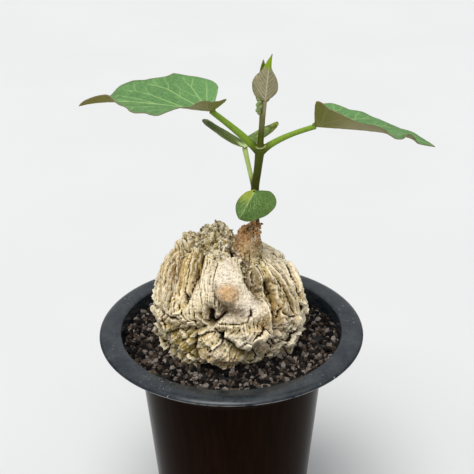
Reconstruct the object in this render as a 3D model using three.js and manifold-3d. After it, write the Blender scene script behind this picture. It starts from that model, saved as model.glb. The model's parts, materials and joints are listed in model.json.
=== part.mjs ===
// Potted matelea cyclophylla: a corky caudex half out of dark grit in a round rim pot, with one leafy shoot.
// Millimetres, +Z up. The origin is the centre of the pot's base, and the plant's front faces -Y.
import * as THREE from 'three';
import { mergeGeometries, mergeVertices } from 'three/addons/utils/BufferGeometryUtils.js';
import Module from 'manifold-3d';

const wasm = await Module();
wasm.setup();

// Clearance between pieces that touch on the real plant.
const gap = 0.3;

const pot = {
  height: 115,
  rimRadius: 60,
  mouthRadius: 50,
  baseRadius: 33.4,
  taper: 0.088,
  wall: 1.5,
  floor: 2,
  shoulderHeight: 100,
  collarRadius: 52,
  collarHeight: 106,
  throatRadius: 49.2,
  lipDrop: 2.2,
  sides: 64,
};
const drain = { holes: 8, holeRadius: 3.2, ringRadius: 21 };
const soil = { top: 108, relief: 0.7, columns: 72, rings: 6, clearance: gap + 0.1 };

// The caudex is a fat superellipsoid about its centre, half buried, with a short blunt root under it.
const caudex = {
  center: new THREE.Vector3(-0.4, 0, 125.5),
  halfWidth: 33.4,
  halfDepth: 30.5,
  rise: 29,
  drop: 34,
  roundness: 2.45,
  columns: soil.columns,
  rows: 36,
  contactRow: 24,
  ribs: 24,
  ribHeight: 1.8,
  bumpHeight: 0.55,
};

// The shoot's axis from its foot in the crown to the top node, with the radius at each point.
const shoot = [
  { at: [11.1, 2.3, 158.2], radius: 1.9 },
  { at: [11.1, 2.3, 164.0], radius: 1.85 },
  { at: [10.7, 2.1, 174.5], radius: 1.65 },
  { at: [10.8, 2, 182.2], radius: 1.75 },
  { at: [11.9, 2, 191.0], radius: 1.75 },
  { at: [12.8, 2, 200.0], radius: 2.05 },
  { at: [13.1, 2, 203.5], radius: 1.3 },
  { at: [13.8, 2, 215.4], radius: 1.3 },
];

// Helpers.

const degrees = THREE.MathUtils.degToRad;

function material(color, roughness, metalness = 0) {
  return new THREE.MeshStandardMaterial({ color, roughness, metalness, side: THREE.FrontSide });
}

// Drop what booleans and merging don't need, and join the seams.
function welded(geometry) {
  const bare = geometry.clone();
  bare.deleteAttribute('normal');
  bare.deleteAttribute('uv');
  return mergeVertices(bare, 1e-4);
}

// Six times the signed volume: negative where the faces point inward.
function signedVolume(geometry) {
  const position = geometry.attributes.position;
  const index = geometry.index;
  const [a, b, c] = [new THREE.Vector3(), new THREE.Vector3(), new THREE.Vector3()];
  let sum = 0;
  for (let i = 0; i < index.count; i += 3) {
    a.fromBufferAttribute(position, index.getX(i));
    b.fromBufferAttribute(position, index.getX(i + 1));
    c.fromBufferAttribute(position, index.getX(i + 2));
    sum += a.dot(b.cross(c));
  }
  return sum;
}

function flipped(geometry) {
  const turned = geometry.clone();
  const index = turned.index;
  for (let i = 0; i < index.count; i += 3) {
    const first = index.getX(i);
    index.setX(i, index.getX(i + 1));
    index.setX(i + 1, first);
  }
  return turned;
}

function outward(geometry) {
  const solid = signedVolume(geometry) < 0 ? flipped(geometry) : geometry;
  solid.computeVertexNormals();
  return solid;
}

// A piecewise cubic through [x, y] pairs that never overshoots them.
function curveThrough(pairs, x) {
  const last = pairs.length - 1;
  const at = THREE.MathUtils.clamp(x, pairs[0][0], pairs[last][0]);
  const rise = (k) => (pairs[k + 1][1] - pairs[k][1]) / (pairs[k + 1][0] - pairs[k][0]);
  const slope = (k) => {
    if (k === 0) return rise(0);
    if (k === last) return rise(last - 1);
    const [before, after] = [rise(k - 1), rise(k)];
    return before * after <= 0 ? 0 : (2 * before * after) / (before + after);
  };
  let k = 0;
  while (k < last - 1 && at >= pairs[k + 1][0]) k += 1;
  const span = pairs[k + 1][0] - pairs[k][0];
  const t = (at - pairs[k][0]) / span;
  return (1 + 2 * t) * (1 - t) ** 2 * pairs[k][1] + t * (1 - t) ** 2 * span * slope(k)
    + t * t * (3 - 2 * t) * pairs[k + 1][1] + t * t * (t - 1) * span * slope(k + 1);
}

// A lathe whose profile changes around it: pointAt(column, row) gives each point of the closed grid.
function changingLathe(columns, rows, pointAt) {
  const profile = Array.from({ length: rows }, (_, row) => new THREE.Vector2(1, row));
  const geometry = new THREE.LatheGeometry(profile, columns);
  const position = geometry.attributes.position;
  for (let column = 0; column <= columns; column += 1) {
    for (let row = 0; row < rows; row += 1) {
      const point = pointAt(column % columns, row);
      position.setXYZ(column * rows + row, point.x, point.y, point.z);
    }
  }
  return outward(welded(geometry));
}

// A tube swept along a curve, then swollen or thinned to radiusAt(share of the length).
function taperedTube(curve, sides, steps, radiusAt) {
  const seed = 0.05;
  const section = new THREE.Shape();
  for (let k = 0; k < sides; k += 1) {
    const angle = (k / sides) * Math.PI * 2;
    const point = [seed * Math.cos(angle), seed * Math.sin(angle)];
    if (k === 0) section.moveTo(...point);
    else section.lineTo(...point);
  }
  const geometry = new THREE.ExtrudeGeometry(section, { steps, extrudePath: curve, bevelEnabled: false });
  const centers = curve.getSpacedPoints(steps);
  const position = geometry.attributes.position;
  const point = new THREE.Vector3();
  for (let i = 0; i < position.count; i += 1) {
    point.fromBufferAttribute(position, i);
    let nearest = 0;
    centers.forEach((center, k) => {
      if (center.distanceTo(point) < centers[nearest].distanceTo(point)) nearest = k;
    });
    const arm = point.clone().sub(centers[nearest]).multiplyScalar(radiusAt(nearest / steps) / seed);
    position.setXYZ(i, ...centers[nearest].clone().add(arm));
  }
  return outward(welded(geometry));
}

// The stretch of a curve that is left when both ends are cut back by a length.
function cutBack(curve, start, end) {
  const length = curve.getLength();
  const stations = 8;
  const points = Array.from({ length: stations + 1 }, (_, k) => {
    const along = start + ((length - start - end) * k) / stations;
    return curve.getPointAt(along / length);
  });
  return new THREE.CatmullRomCurve3(points);
}

function manifoldOf(geometry) {
  const solid = welded(geometry);
  return new wasm.Manifold(new wasm.Mesh({
    numProp: 3,
    vertProperties: new Float32Array(solid.attributes.position.array),
    triVerts: new Uint32Array(solid.index.array),
  }));
}

function geometryOf(manifold) {
  const mesh = manifold.getMesh();
  const geometry = new THREE.BufferGeometry();
  const places = new Float32Array(mesh.numVert * 3);
  for (let i = 0; i < mesh.numVert; i += 1) {
    for (let k = 0; k < 3; k += 1) places[i * 3 + k] = mesh.vertProperties[i * mesh.numProp + k];
  }
  geometry.setAttribute('position', new THREE.BufferAttribute(places, 3));
  geometry.setIndex(new THREE.BufferAttribute(new Uint32Array(mesh.triVerts), 1));
  return outward(geometry);
}

function zCylinder(radius, from, to, sides, x, y) {
  const cylinder = new THREE.CylinderGeometry(radius, radius, to - from, sides);
  cylinder.rotateX(Math.PI / 2);
  cylinder.translate(x, y, (from + to) / 2);
  return cylinder;
}

// Pot.

const potInnerRadius = (z) => pot.baseRadius + pot.taper * z - pot.wall;

function potGeometry() {
  const shoulderRadius = pot.baseRadius + pot.taper * pot.shoulderHeight;
  const outline = [
    [0, 0], [pot.baseRadius - 1, 0], [pot.baseRadius, 1],
    [shoulderRadius, pot.shoulderHeight],
    [pot.collarRadius, pot.collarHeight], [pot.collarRadius, pot.height - 1.8],
    [pot.rimRadius - 1.6, pot.height - 2.0], [pot.rimRadius - 1.0, pot.height - pot.lipDrop],
    [pot.rimRadius - 0.3, pot.height - pot.lipDrop], [pot.rimRadius, pot.height - 1.8],
    [pot.rimRadius - 0.4, pot.height - 1.2], [pot.rimRadius - 1.4, pot.height - 0.7],
    [pot.rimRadius - 2.8, pot.height - 0.4], [pot.mouthRadius + 0.8, pot.height],
    [pot.mouthRadius, pot.height - 0.8], [pot.throatRadius, pot.collarHeight],
    [shoulderRadius - pot.wall, pot.shoulderHeight - 0.6],
    [potInnerRadius(pot.floor), pot.floor], [0, pot.floor],
  ];
  const body = new THREE.LatheGeometry(outline.map(([r, z]) => new THREE.Vector2(r, z)), pot.sides);
  body.rotateX(Math.PI / 2);
  let solid = manifoldOf(outward(welded(body)));
  for (let k = 0; k < drain.holes; k += 1) {
    const angle = (k / drain.holes) * Math.PI * 2;
    const [x, y] = [drain.ringRadius * Math.cos(angle), drain.ringRadius * Math.sin(angle)];
    solid = solid.subtract(manifoldOf(zCylinder(drain.holeRadius, -1, pot.floor + 1, 14, x, y)));
  }
  return geometryOf(solid);
}

// Caudex.

// A direction from its azimuth (0 is the front, 90 is +X) and its elevation, in degrees.
function direction(azimuth, elevation) {
  const [a, e] = [degrees(azimuth), degrees(elevation)];
  return new THREE.Vector3(Math.sin(a) * Math.cos(e), -Math.cos(a) * Math.cos(e), Math.sin(e));
}

function plainRadius(way) {
  const across = Math.hypot(way.x / caudex.halfWidth, way.y / caudex.halfDepth);
  const up = Math.abs(way.z) / (way.z > 0 ? caudex.rise : caudex.drop);
  return (across ** caudex.roundness + up ** caudex.roundness) ** (-1 / caudex.roundness);
}

// Swellings and hollows: where, how wide each way in degrees, how high in mm, how steep their sides are.
const lumps = [
  { name: 'left shoulder', at: [-98, 46], spread: [34, 19], height: 3.2, steep: 2 },
  { name: 'left shoulder front', at: [-62, 56], spread: [20, 14], height: 2.2, steep: 2 },
  { name: 'right shoulder', at: [92, 46], spread: [34, 22], height: -3.4, steep: 2 },
  { name: 'front tuck', at: [4, -34], spread: [34, 16], height: -2.6, steep: 2 },
  { name: 'right tuck', at: [48, -26], spread: [20, 14], height: -2.4, steep: 2 },
  { name: 'centre ridge', at: [-3, 50], spread: [13, 26], height: 1.6, steep: 3 },
  { name: 'round knob', at: [-3, 39], spread: [9, 8.5], height: 2.0, steep: 4 },
  { name: 'centre mass', at: [8, 24], spread: [19, 9], height: 2.2, steep: 3 },
  { name: 'right lip', at: [27, 22], spread: [8, 14], height: 1.4, steep: 2 },
  { name: 'left cheek', at: [-44, 22], spread: [18, 12], height: 1.2, steep: 2 },
  { name: 'left chin', at: [-44, -7], spread: [17, 11], height: 1.8, steep: 3 },
  { name: 'snout', at: [-12, -14], spread: [13, 10], height: 2.2, steep: 3 },
  { name: 'right chin', at: [15, 2], spread: [13, 9], height: 2.4, steep: 3 },
  { name: 'lower right lump', at: [52, 0], spread: [11, 10], height: 1.6, steep: 3 },
  { name: 'right cheek', at: [62, 18], spread: [16, 18], height: 0.8, steep: 2 },
  { name: 'shoot base', at: [84, 78], spread: [8.5, 8.5], height: 9.8, steep: 5 },
  { name: 'shoot socket', at: [104, 70], spread: [8, 8], height: 5.6, steep: 4 },
  { name: 'crumb heap', at: [-82, 77], spread: [15, 17], height: 5.4, steep: 2.5 },
  { name: 'crumb top', at: [-90, 83], spread: [7.5, 7.5], height: 8.2, steep: 2.2 },
  { name: 'left crumbs', at: [-88, 64], spread: [8, 6], height: 2.6, steep: 3 },
  { name: 'back mass', at: [165, 30], spread: [30, 22], height: 1.6, steep: 2 },
  { name: 'back left mass', at: [-140, 5], spread: [24, 20], height: 1.4, steep: 2 },
  { name: 'back chin', at: [140, -10], spread: [26, 10], height: 1.6, steep: 3 },
  { name: 'root', at: [0, -90], spread: [14, 14], height: 12, steep: 2 },
];

// Furrows follow points given as azimuth and elevation; halfWidth and depth are in mm.
const furrows = [
  {
    name: 'mouth', halfWidth: 2.2, depth: 2.6,
    path: [[-55, 8], [-40, 11], [-28, 14], [-17, 19], [-6, 16], [3, 13], [18, 19]],
  },
  {
    name: 'mouth arm', halfWidth: 2.0, depth: 1.6,
    path: [[-17, 19], [-25, 25]],
  },
  {
    name: 'under the right chin', halfWidth: 2.2, depth: 2.4,
    path: [[-3, 0], [3, -6], [10, -12], [22, -10], [36, -9]],
  },
  {
    name: 'snout crease', halfWidth: 2.0, depth: 1.8,
    path: [[-32, -2], [-28, -14], [-27, -24]],
  },
  {
    name: 'crown pit', halfWidth: 2.0, depth: 3.0,
    path: [[30, 84], [40, 76]],
  },
  {
    name: 'long groove', halfWidth: 2.4, depth: 3.0,
    path: [[46, 41], [41, 31], [39, 20], [39, 8], [40, -6]],
  },
  {
    name: 'side cleft', halfWidth: 2.2, depth: 2.2,
    path: [[98, 58], [104, 34], [100, 10]],
  },
  {
    name: 'back cleft', halfWidth: 2.4, depth: 2.6,
    path: [[176, 66], [184, 40], [172, 18], [178, -4]],
  },
  {
    name: 'back side cleft', halfWidth: 2.2, depth: 2.2,
    path: [[-128, 60], [-118, 34], [-126, 8]],
  },
];

// The pale lip that overhangs the dark recess on its right.
const lip = {
  path: [[16, 76], [18, 57], [18, 45], [25, 37], [32, 29], [32, 21], [35, 12], [36, 3]],
  rise: 1.2,
  riseWidth: 2.4,
  recess: 3.4,
  fall: 1.3,
  recovery: 6.5,
};

const onPlainForm = ([azimuth, elevation]) => {
  const way = direction(azimuth, elevation);
  return way.multiplyScalar(plainRadius(way));
};

// Distance from a point to a path on the plain form, with the side that the point lies on.
function toPath(point, path) {
  let best = { distance: Infinity, side: 1 };
  for (let k = 0; k + 1 < path.length; k += 1) {
    const line = new THREE.Line3(path[k], path[k + 1]);
    const foot = line.closestPointToPoint(point, true, new THREE.Vector3());
    const distance = foot.distanceTo(point);
    if (distance < best.distance) {
      const along = line.delta(new THREE.Vector3());
      const side = Math.sign(along.cross(point.clone().sub(foot)).dot(point)) || 1;
      best = { distance, side };
    }
  }
  return best;
}

const furrowPaths = furrows.map((furrow) => furrow.path.map(onPlainForm));
const lipPath = lip.path.map(onPlainForm);

function lumpHeight(way) {
  let height = 0;
  for (const lump of lumps) {
    const middle = direction(...lump.at);
    const facing = middle.dot(way);
    if (facing <= 0) continue;
    const east = direction(lump.at[0] + 90, 0);
    const north = new THREE.Vector3().crossVectors(middle, east);
    const u = way.dot(east) / degrees(lump.spread[0]);
    const v = way.dot(north) / degrees(lump.spread[1]);
    height += lump.height * Math.exp(-(Math.hypot(u, v) ** lump.steep));
  }
  return height;
}

function lipHeight(point) {
  const { distance, side } = toPath(point, lipPath);
  if (side < 0) return lip.rise * Math.exp(-((distance / lip.riseWidth) ** 2));
  const drop = 1 - Math.exp(-((distance / lip.fall) ** 2));
  return lip.rise * (1 - drop) - lip.recess * drop * Math.exp(-((distance / lip.recovery) ** 2));
}

// Corky ribs run down from the crown and fade out over the top, the centre ridge and the underside.
function ribHeight(way, azimuth, elevation) {
  const turn = azimuth / 360 + 0.012 * Math.sin(degrees(3 * elevation + 2 * azimuth));
  const wave = Math.abs(Math.sin(Math.PI * caudex.ribs * turn)) ** 0.8 - 0.55;
  const down = THREE.MathUtils.smoothstep(78 - elevation, 0, 16)
    * THREE.MathUtils.smoothstep(elevation, -22, 2);
  const aside = 1 - 0.8 * Math.exp(-(((azimuth - 2) / 26) ** 4));
  return caudex.ribHeight * wave * down * aside;
}

function bumpHeight(point) {
  const [x, y, z] = [point.x, point.y, point.z];
  const broad = Math.sin(0.21 * x + 1.3) * Math.sin(0.24 * y + 0.4) + Math.sin(0.19 * z - 0.17 * x + 2.1);
  const fine = Math.sin(0.52 * x + 0.31 * z) * Math.sin(0.47 * y - 0.42 * z + 1.7);
  return caudex.bumpHeight * (broad + 0.9 * fine);
}

function caudexRadius(azimuth, elevation) {
  const way = direction(azimuth, elevation);
  const plain = plainRadius(way);
  const point = way.clone().multiplyScalar(plain);
  let height = lumpHeight(way) + lipHeight(point) + ribHeight(way, azimuth, elevation);
  furrows.forEach((furrow, k) => {
    const { distance } = toPath(point, furrowPaths[k]);
    height -= furrow.depth * Math.exp(-((distance / furrow.halfWidth) ** 2));
  });
  return plain + height + bumpHeight(point) * THREE.MathUtils.smoothstep(elevation, -80, -50);
}

// How far the plain hole for the shoot's foot is cut upwards, clear through the crown.
const socketReach = 12;

// The shared grid of the caudex and of the hollow that the soil keeps for it.
const caudexRadii = Array.from({ length: caudex.columns }, (_, column) => {
  const azimuth = (column / caudex.columns) * 360;
  const signed = azimuth > 180 ? azimuth - 360 : azimuth;
  const rows = Array.from({ length: caudex.rows + 1 }, (__, row) => 90 - (row / caudex.rows) * 180);
  return rows.map((elevation) => caudexRadius(signed, elevation));
});

function caudexPoint(column, row, clearance = 0) {
  const pole = row === 0 || row === caudex.rows;
  const radius = caudexRadii[pole ? 0 : column][row] + clearance;
  const way = direction((column / caudex.columns) * 360, 90 - (row / caudex.rows) * 180);
  return way.multiplyScalar(radius).add(caudex.center);
}

function caudexGeometry() {
  const body = changingLathe(caudex.columns, caudex.rows + 1, (column, row) => caudexPoint(column, row));
  const [x, y, foot] = shoot[0].at;
  const socket = zCylinder(shoot[0].radius + gap, foot - gap, foot + socketReach, 16, x, y);
  return geometryOf(manifoldOf(body).subtract(manifoldOf(socket)));
}

// Soil.

// Grit fills the pot up to its surface, with a low uneven relief.
function soilSurface(radius, azimuth, contactHeight, share) {
  const [x, y] = [radius * Math.sin(azimuth), -radius * Math.cos(azimuth)];
  const relief = Math.sin(0.41 * x + 0.6) * Math.sin(0.37 * y + 1.1) + 0.7 * Math.sin(0.83 * x - 0.52 * y)
    + 0.5 * Math.sin(1.35 * y + 0.9 * x + 2);
  const level = soil.top + soil.relief * relief * Math.sin(Math.PI * Math.min(1, share * 1.15));
  return THREE.MathUtils.lerp(contactHeight, level, THREE.MathUtils.smoothstep(share, 0, 0.45));
}

function soilGeometry() {
  const { clearance, rings } = soil;
  const hollowRows = caudex.rows - caudex.contactRow;
  const wallRadius = pot.throatRadius - clearance;
  const wall = [
    [wallRadius, pot.collarHeight + gap],
    [potInnerRadius(pot.shoulderHeight) - clearance, pot.shoulderHeight - 0.6 + gap],
    [potInnerRadius(pot.floor) - clearance, pot.floor + gap],
  ];
  const rows = hollowRows + 1 + rings + wall.length + 1;
  return changingLathe(soil.columns, rows, (column, row) => {
    const azimuth = degrees((column / soil.columns) * 360);
    if (row <= hollowRows) return caudexPoint(column, caudex.rows - row, clearance);
    if (row <= hollowRows + rings) {
      const contact = caudexPoint(column, caudex.contactRow, clearance);
      const share = (row - hollowRows) / rings;
      const start = Math.hypot(contact.x, contact.y);
      const bearing = Math.atan2(contact.x, -contact.y);
      const swing = Math.atan2(Math.sin(azimuth - bearing), Math.cos(azimuth - bearing));
      const turned = bearing + swing * share;
      const radius = THREE.MathUtils.lerp(start, wallRadius, share);
      const height = soilSurface(radius, turned, contact.z, share);
      return new THREE.Vector3(radius * Math.sin(turned), -radius * Math.cos(turned), height);
    }
    const [radius, height] = wall[row - hollowRows - rings - 1] ?? [0, pot.floor + gap];
    return new THREE.Vector3(radius * Math.sin(azimuth), -radius * Math.cos(azimuth), height);
  });
}

// Shoot.

const shootCurve = new THREE.CatmullRomCurve3(shoot.map((station) => new THREE.Vector3(...station.at)));

function stemGeometry() {
  const lengths = [0];
  shoot.slice(1).forEach((station, k) => {
    const step = new THREE.Vector3(...station.at).distanceTo(new THREE.Vector3(...shoot[k].at));
    lengths.push(lengths[k] + step);
  });
  const total = lengths[lengths.length - 1];
  const table = shoot.map((station, k) => [lengths[k] / total, station.radius]);
  return taperedTube(shootCurve, 12, 24, (share) => curveThrough(table, share));
}

// Leaf stalks: from the stem's axis to the blade's joint by one bend, cut back clear of both.
const petioles = [
  {
    name: 'petiole_left', from: [12.8, 2, 199.8], bend: [6.5, 1.8, 206.8], to: [-7.5, 0, 218.8],
    start: 3.35, end: 1.95, radii: [1.45, 1.2],
  },
  {
    name: 'petiole_right', from: [12.8, 2, 199.8], bend: [19.5, 1.9, 206.0], to: [36.1, 0, 211.5],
    start: 3.35, end: 1.95, radii: [1.45, 1.15],
  },
  {
    name: 'petiole_back', from: [10.8, 2, 181.6], bend: [8.6, 7.4, 188.2], to: [6.5, 12, 197.6],
    start: 4.25, end: 1.1, radii: [1.05, 1.1],
  },
  {
    name: 'petiole_front', from: [10.7, 2, 182.2], bend: [10.6, -0.4, 182.3], to: [10.3, -2.6, 182.7],
    start: 2.1, end: 1.9, radii: [0.8, 0.6],
  },
  {
    name: 'petiole_tip_front', from: [14.5, 1.25, 215.4], bend: [14.9, 1.1, 219.0], to: [15.1, 0.5, 223.8],
    start: 0.4, end: 1.5, radii: [0.72, 0.68],
  },
  {
    name: 'petiole_tip_back', from: [13.3, 2.9, 215.4], bend: [13.5, 3.6, 218.2], to: [14.1, 4, 221.9],
    start: 0.4, end: 1.42, radii: [0.62, 0.58],
  },
];

function petioleGeometry({ from, bend, to, start, end, radii }) {
  const places = [from, bend, to].map((place) => new THREE.Vector3(...place));
  const whole = new THREE.QuadraticBezierCurve3(...places);
  const curve = cutBack(whole, start, end);
  return taperedTube(curve, 10, 8, (share) => THREE.MathUtils.lerp(radii[0], radii[1], share));
}

// Leaves.

// A blade's outline is given by pairs of an angle from the midrib in degrees and a share of the midrib's
// length, as seen from the stalk's joint. Its two halves fold up from the midrib by an angle that changes
// along it. Stations are shares of the midrib's length.
const bladeThickness = 0.6;
const cuppedFold = [[-0.3, 20], [0, 22], [0.5, 26], [1, 45]];
const narrowHalf = [
  [0, 1], [4, 0.86], [8, 0.7], [14, 0.56], [24, 0.42], [38, 0.31], [55, 0.24], [75, 0.19], [100, 0.15],
  [130, 0.09], [180, 0.05],
];

const leaves = [
  {
    name: 'leaf_left', rays: 48, rings: 5, up: [0, 0, 1], side: [0, 1, 0],
    midrib: [[-7.5, 0, 218.8], [-22, 0, 220.0], [-45, 0, 226.3], [-61.8, 0, 221.5]],
    outline: {
      plus: [[0, 1], [2, 0.95], [5, 0.89], [9, 0.82], [13, 0.77], [17, 0.735], [21, 0.704], [24, 0.679],
        [26, 0.645], [28, 0.6], [33, 0.556], [38, 0.523], [45, 0.497], [50, 0.495], [53, 0.476], [58, 0.442],
        [68, 0.406], [80, 0.363], [90, 0.34], [95, 0.315], [100, 0.275], [103, 0.14], [108, 0.06],
        [180, 0.03]],
      minus: [[0, 1], [2, 0.965], [4, 0.9], [6, 0.81], [8, 0.72], [11, 0.66], [16, 0.64], [21, 0.636],
        [26, 0.615], [29, 0.565], [33, 0.55], [38, 0.548], [43, 0.54], [48, 0.49], [54, 0.45], [60, 0.37],
        [67, 0.31], [80, 0.264], [90, 0.2], [105, 0.19], [110, 0.21], [116, 0.235], [119, 0.22], [121, 0.1],
        [128, 0.05], [180, 0.03]],
    },
    fold: {
      plus: [[-0.3, 24], [0, 22], [0.3, 21], [0.6, 16], [0.7, 13], [0.78, -4], [1, -10]],
      minus: [[-0.3, 50], [-0.12, 48], [-0.05, 44], [0, 40], [0.045, 36], [0.12, 30], [0.157, 24],
        [0.24, 20], [0.4, 8], [0.62, 3], [0.68, 6], [0.72, 22], [0.77, 55], [0.84, 60], [1, 58]],
    },
  },
  {
    name: 'leaf_right', rays: 48, rings: 5, up: [0, 0, 1], side: [0, 1, 0],
    midrib: [[36.1, 0, 211.5], [52, 0, 209.9], [70, 0, 209.8], [86.5, 0, 201.7]],
    outline: {
      plus: [[0, 1], [2, 0.95], [5, 0.88], [10, 0.817], [15, 0.761], [21, 0.689], [26, 0.619], [32, 0.56],
        [39, 0.529], [48, 0.469], [57, 0.428], [70, 0.37], [77, 0.334], [86, 0.31], [89, 0.25], [92, 0.12],
        [100, 0.05], [180, 0.03]],
      minus: [[0, 1], [2, 0.95], [5, 0.89], [8, 0.83], [12, 0.78], [18, 0.7], [27, 0.61], [37, 0.54],
        [45, 0.48], [52, 0.43], [66, 0.375], [80, 0.345], [90, 0.335], [96, 0.33], [99, 0.315], [101, 0.2],
        [104, 0.08], [120, 0.04], [180, 0.03]],
    },
    fold: {
      plus: [[-0.3, 18], [0, 17], [0.08, 15], [0.13, 13.5], [0.23, 9.5], [0.31, 6], [0.41, 5], [0.55, 1.5],
        [0.72, -4], [0.85, 6], [1, 4]],
      minus: [[-0.3, 60], [-0.05, 58], [0, 54], [0.05, 47], [0.1, 43], [0.15, 39], [0.25, 32], [0.33, 29],
        [0.42, 27.5], [0.5, 24], [0.56, 17], [0.62, 12], [0.67, 14], [0.71, 27], [0.77, 22], [0.82, 6],
        [1, 3]],
    },
  },
  {
    name: 'leaf_back', rays: 32, rings: 4, up: [0, 0, 1], side: [1, 0, 0],
    midrib: [[6.5, 12, 197.6], [5.9, 21, 197.0], [5.1, 32, 193.8], [4.5, 41, 188.0]],
    outline: {
      plus: [[0, 1], [6, 0.92], [14, 0.82], [26, 0.72], [42, 0.66], [58, 0.65], [72, 0.6], [84, 0.5],
        [96, 0.37], [110, 0.26], [124, 0.16], [140, 0.08], [180, 0.05]],
      minus: [[0, 1], [6, 0.92], [14, 0.84], [26, 0.76], [42, 0.7], [58, 0.7], [74, 0.7], [86, 0.66],
        [98, 0.52], [110, 0.4], [124, 0.24], [140, 0.1], [180, 0.05]],
    },
    fold: { plus: [[-0.3, 29], [0.5, 29], [1, 20]], minus: [[-0.3, 32], [0.5, 32], [1, 20]] },
  },
  {
    name: 'leaf_front', rays: 32, rings: 4, up: [0, -1, 0.6], side: [0.84, 0.1, -0.52],
    midrib: [[10.3, -2.6, 182.7], [8.3, -6.3, 180.5], [5.7, -9.0, 176.8], [3.7, -9.5, 173.6]],
    outline: {
      plus: [[0, 1], [10, 1], [24, 0.95], [39, 0.86], [55, 0.84], [73, 0.82], [90, 0.82], [106, 0.79],
        [118, 0.71], [130, 0.57], [136, 0.38], [150, 0.14], [180, 0.09]],
      minus: [[0, 1], [8, 0.94], [16, 0.86], [26, 0.75], [40, 0.58], [60, 0.4], [80, 0.28], [100, 0.2],
        [120, 0.15], [150, 0.11], [180, 0.09]],
    },
    fold: { plus: [[-0.3, 4], [0.5, 4], [1, 2]], minus: [[-0.3, -55], [0, -52], [0.5, -46], [1, -30]] },
  },
  {
    name: 'leaf_tip_front', rays: 28, rings: 3, up: [0, 1, 0.1], side: [1, 0, 0.1],
    midrib: [[15.1, 0.5, 223.8], [15.6, -1.0, 229.4], [16.0, -0.3, 236.9], [17.8, 1.5, 242.5]],
    outline: {
      plus: [[0, 1], [2, 0.84], [4.5, 0.7], [16, 0.57], [38, 0.42], [52, 0.345], [74, 0.23], [108, 0.1],
        [140, 0.06], [180, 0.05]],
      minus: [[0, 1], [4, 0.87], [8, 0.76], [16, 0.62], [28, 0.565], [44, 0.48], [60, 0.375],
        [80, 0.28], [99, 0.21], [130, 0.1], [180, 0.05]],
    },
    fold: { plus: cuppedFold, minus: cuppedFold },
  },
  {
    name: 'leaf_tip_back', rays: 24, rings: 3, up: [0, -1, 0.1], side: [1, 0, 0],
    midrib: [[14.1, 4.0, 221.9], [14.2, 6.6, 226.9], [14.3, 7.0, 233.7], [14.3, 6.0, 238.8]],
    outline: { plus: narrowHalf, minus: narrowHalf },
    fold: { plus: cuppedFold, minus: cuppedFold },
  },
];

// A point of a blade's middle surface: along is measured on the midrib and across from it, both in mm.
function bladePoint(leaf, along, across) {
  const length = leaf.curve.getLength();
  const share = THREE.MathUtils.clamp(along / length, 0, 1);
  const tangent = leaf.curve.getTangentAt(share);
  const point = leaf.curve.getPointAt(share).addScaledVector(tangent, Math.min(along, 0));
  const station = along / length;
  const side = new THREE.Vector3(...leaf.side).projectOnPlane(tangent).normalize();
  const up = new THREE.Vector3().crossVectors(tangent, side);
  if (up.dot(new THREE.Vector3(...leaf.up)) < 0) up.negate();
  const fold = degrees(curveThrough(across >= 0 ? leaf.fold.plus : leaf.fold.minus, station));
  point.addScaledVector(side, across * Math.cos(fold));
  return point.addScaledVector(up, Math.abs(across) * Math.sin(fold));
}

// The outline runs in polar form round the joint; rays crowd toward the drawn-out tip.
function bladePlace(leaf, turn, ring) {
  const angle = Math.sign(turn) * Math.PI * Math.abs(turn) ** 1.35;
  const pairs = angle >= 0 ? leaf.outline.plus : leaf.outline.minus;
  const share = curveThrough(pairs, Math.abs(THREE.MathUtils.radToDeg(angle)));
  const radius = ring * leaf.curve.getLength() * share;
  return [radius * Math.cos(angle), radius * Math.sin(angle)];
}

function bladeNormal(leaf, along, across) {
  const step = 0.4;
  const ahead = bladePoint(leaf, along + step, across).sub(bladePoint(leaf, along - step, across));
  const aside = bladePoint(leaf, along, across + step).sub(bladePoint(leaf, along, across - step));
  return ahead.cross(aside).normalize();
}

// Both faces are the same ringed disc, set half a thickness above and below the middle surface.
function leafGeometry(description) {
  const ends = description.midrib.map((place) => new THREE.Vector3(...place));
  const leaf = { ...description, curve: new THREE.CubicBezierCurve3(...ends) };
  const place = (turn, ring, face) => {
    const [along, across] = bladePlace(leaf, turn, ring);
    const normal = bladeNormal(leaf, along, across);
    return bladePoint(leaf, along, across).addScaledVector(normal, (face * bladeThickness) / 2);
  };
  const faceOf = (face) => {
    const disc = new THREE.RingGeometry(0, 1, leaf.rays, leaf.rings);
    const position = disc.attributes.position;
    for (let i = 0; i < position.count; i += 1) {
      const [x, y] = [position.getX(i), position.getY(i)];
      position.setXYZ(i, ...place(Math.atan2(y, x) / Math.PI, Math.hypot(x, y), face));
    }
    return disc;
  };
  const band = new THREE.CylinderGeometry(1, 1, 2, leaf.rays, 1, true);
  const edge = band.attributes.position;
  for (let i = 0; i < edge.count; i += 1) {
    const turn = Math.atan2(edge.getX(i), edge.getZ(i)) / Math.PI;
    edge.setXYZ(i, ...place(turn, 1, edge.getY(i)));
  }
  return outward(welded(mergeGeometries([faceOf(1), flipped(faceOf(-1)), band])));
}

// Bud and bract.

const bud = { halfWidth: 0.95, halfLength: 2.6, lean: -10, center: [12.3, 1.0, 218.6] };
const bract = { radius: 0.7, length: 2.2, lean: -115, center: [14.3, 1.4, 165.6] };

function budGeometry() {
  const body = new THREE.SphereGeometry(1, 10, 8);
  body.scale(bud.halfWidth, bud.halfWidth, bud.halfLength);
  body.rotateY(degrees(bud.lean));
  body.translate(...bud.center);
  return outward(welded(body));
}

function bractGeometry() {
  const scale = new THREE.ConeGeometry(bract.radius, bract.length, 6);
  scale.rotateZ(degrees(bract.lean));
  scale.translate(...bract.center);
  return outward(welded(scale));
}

// The plant.

const plant = new THREE.Group();

function add(name, geometry, surface) {
  const mesh = new THREE.Mesh(geometry, surface);
  mesh.name = name;
  plant.add(mesh);
}

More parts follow.
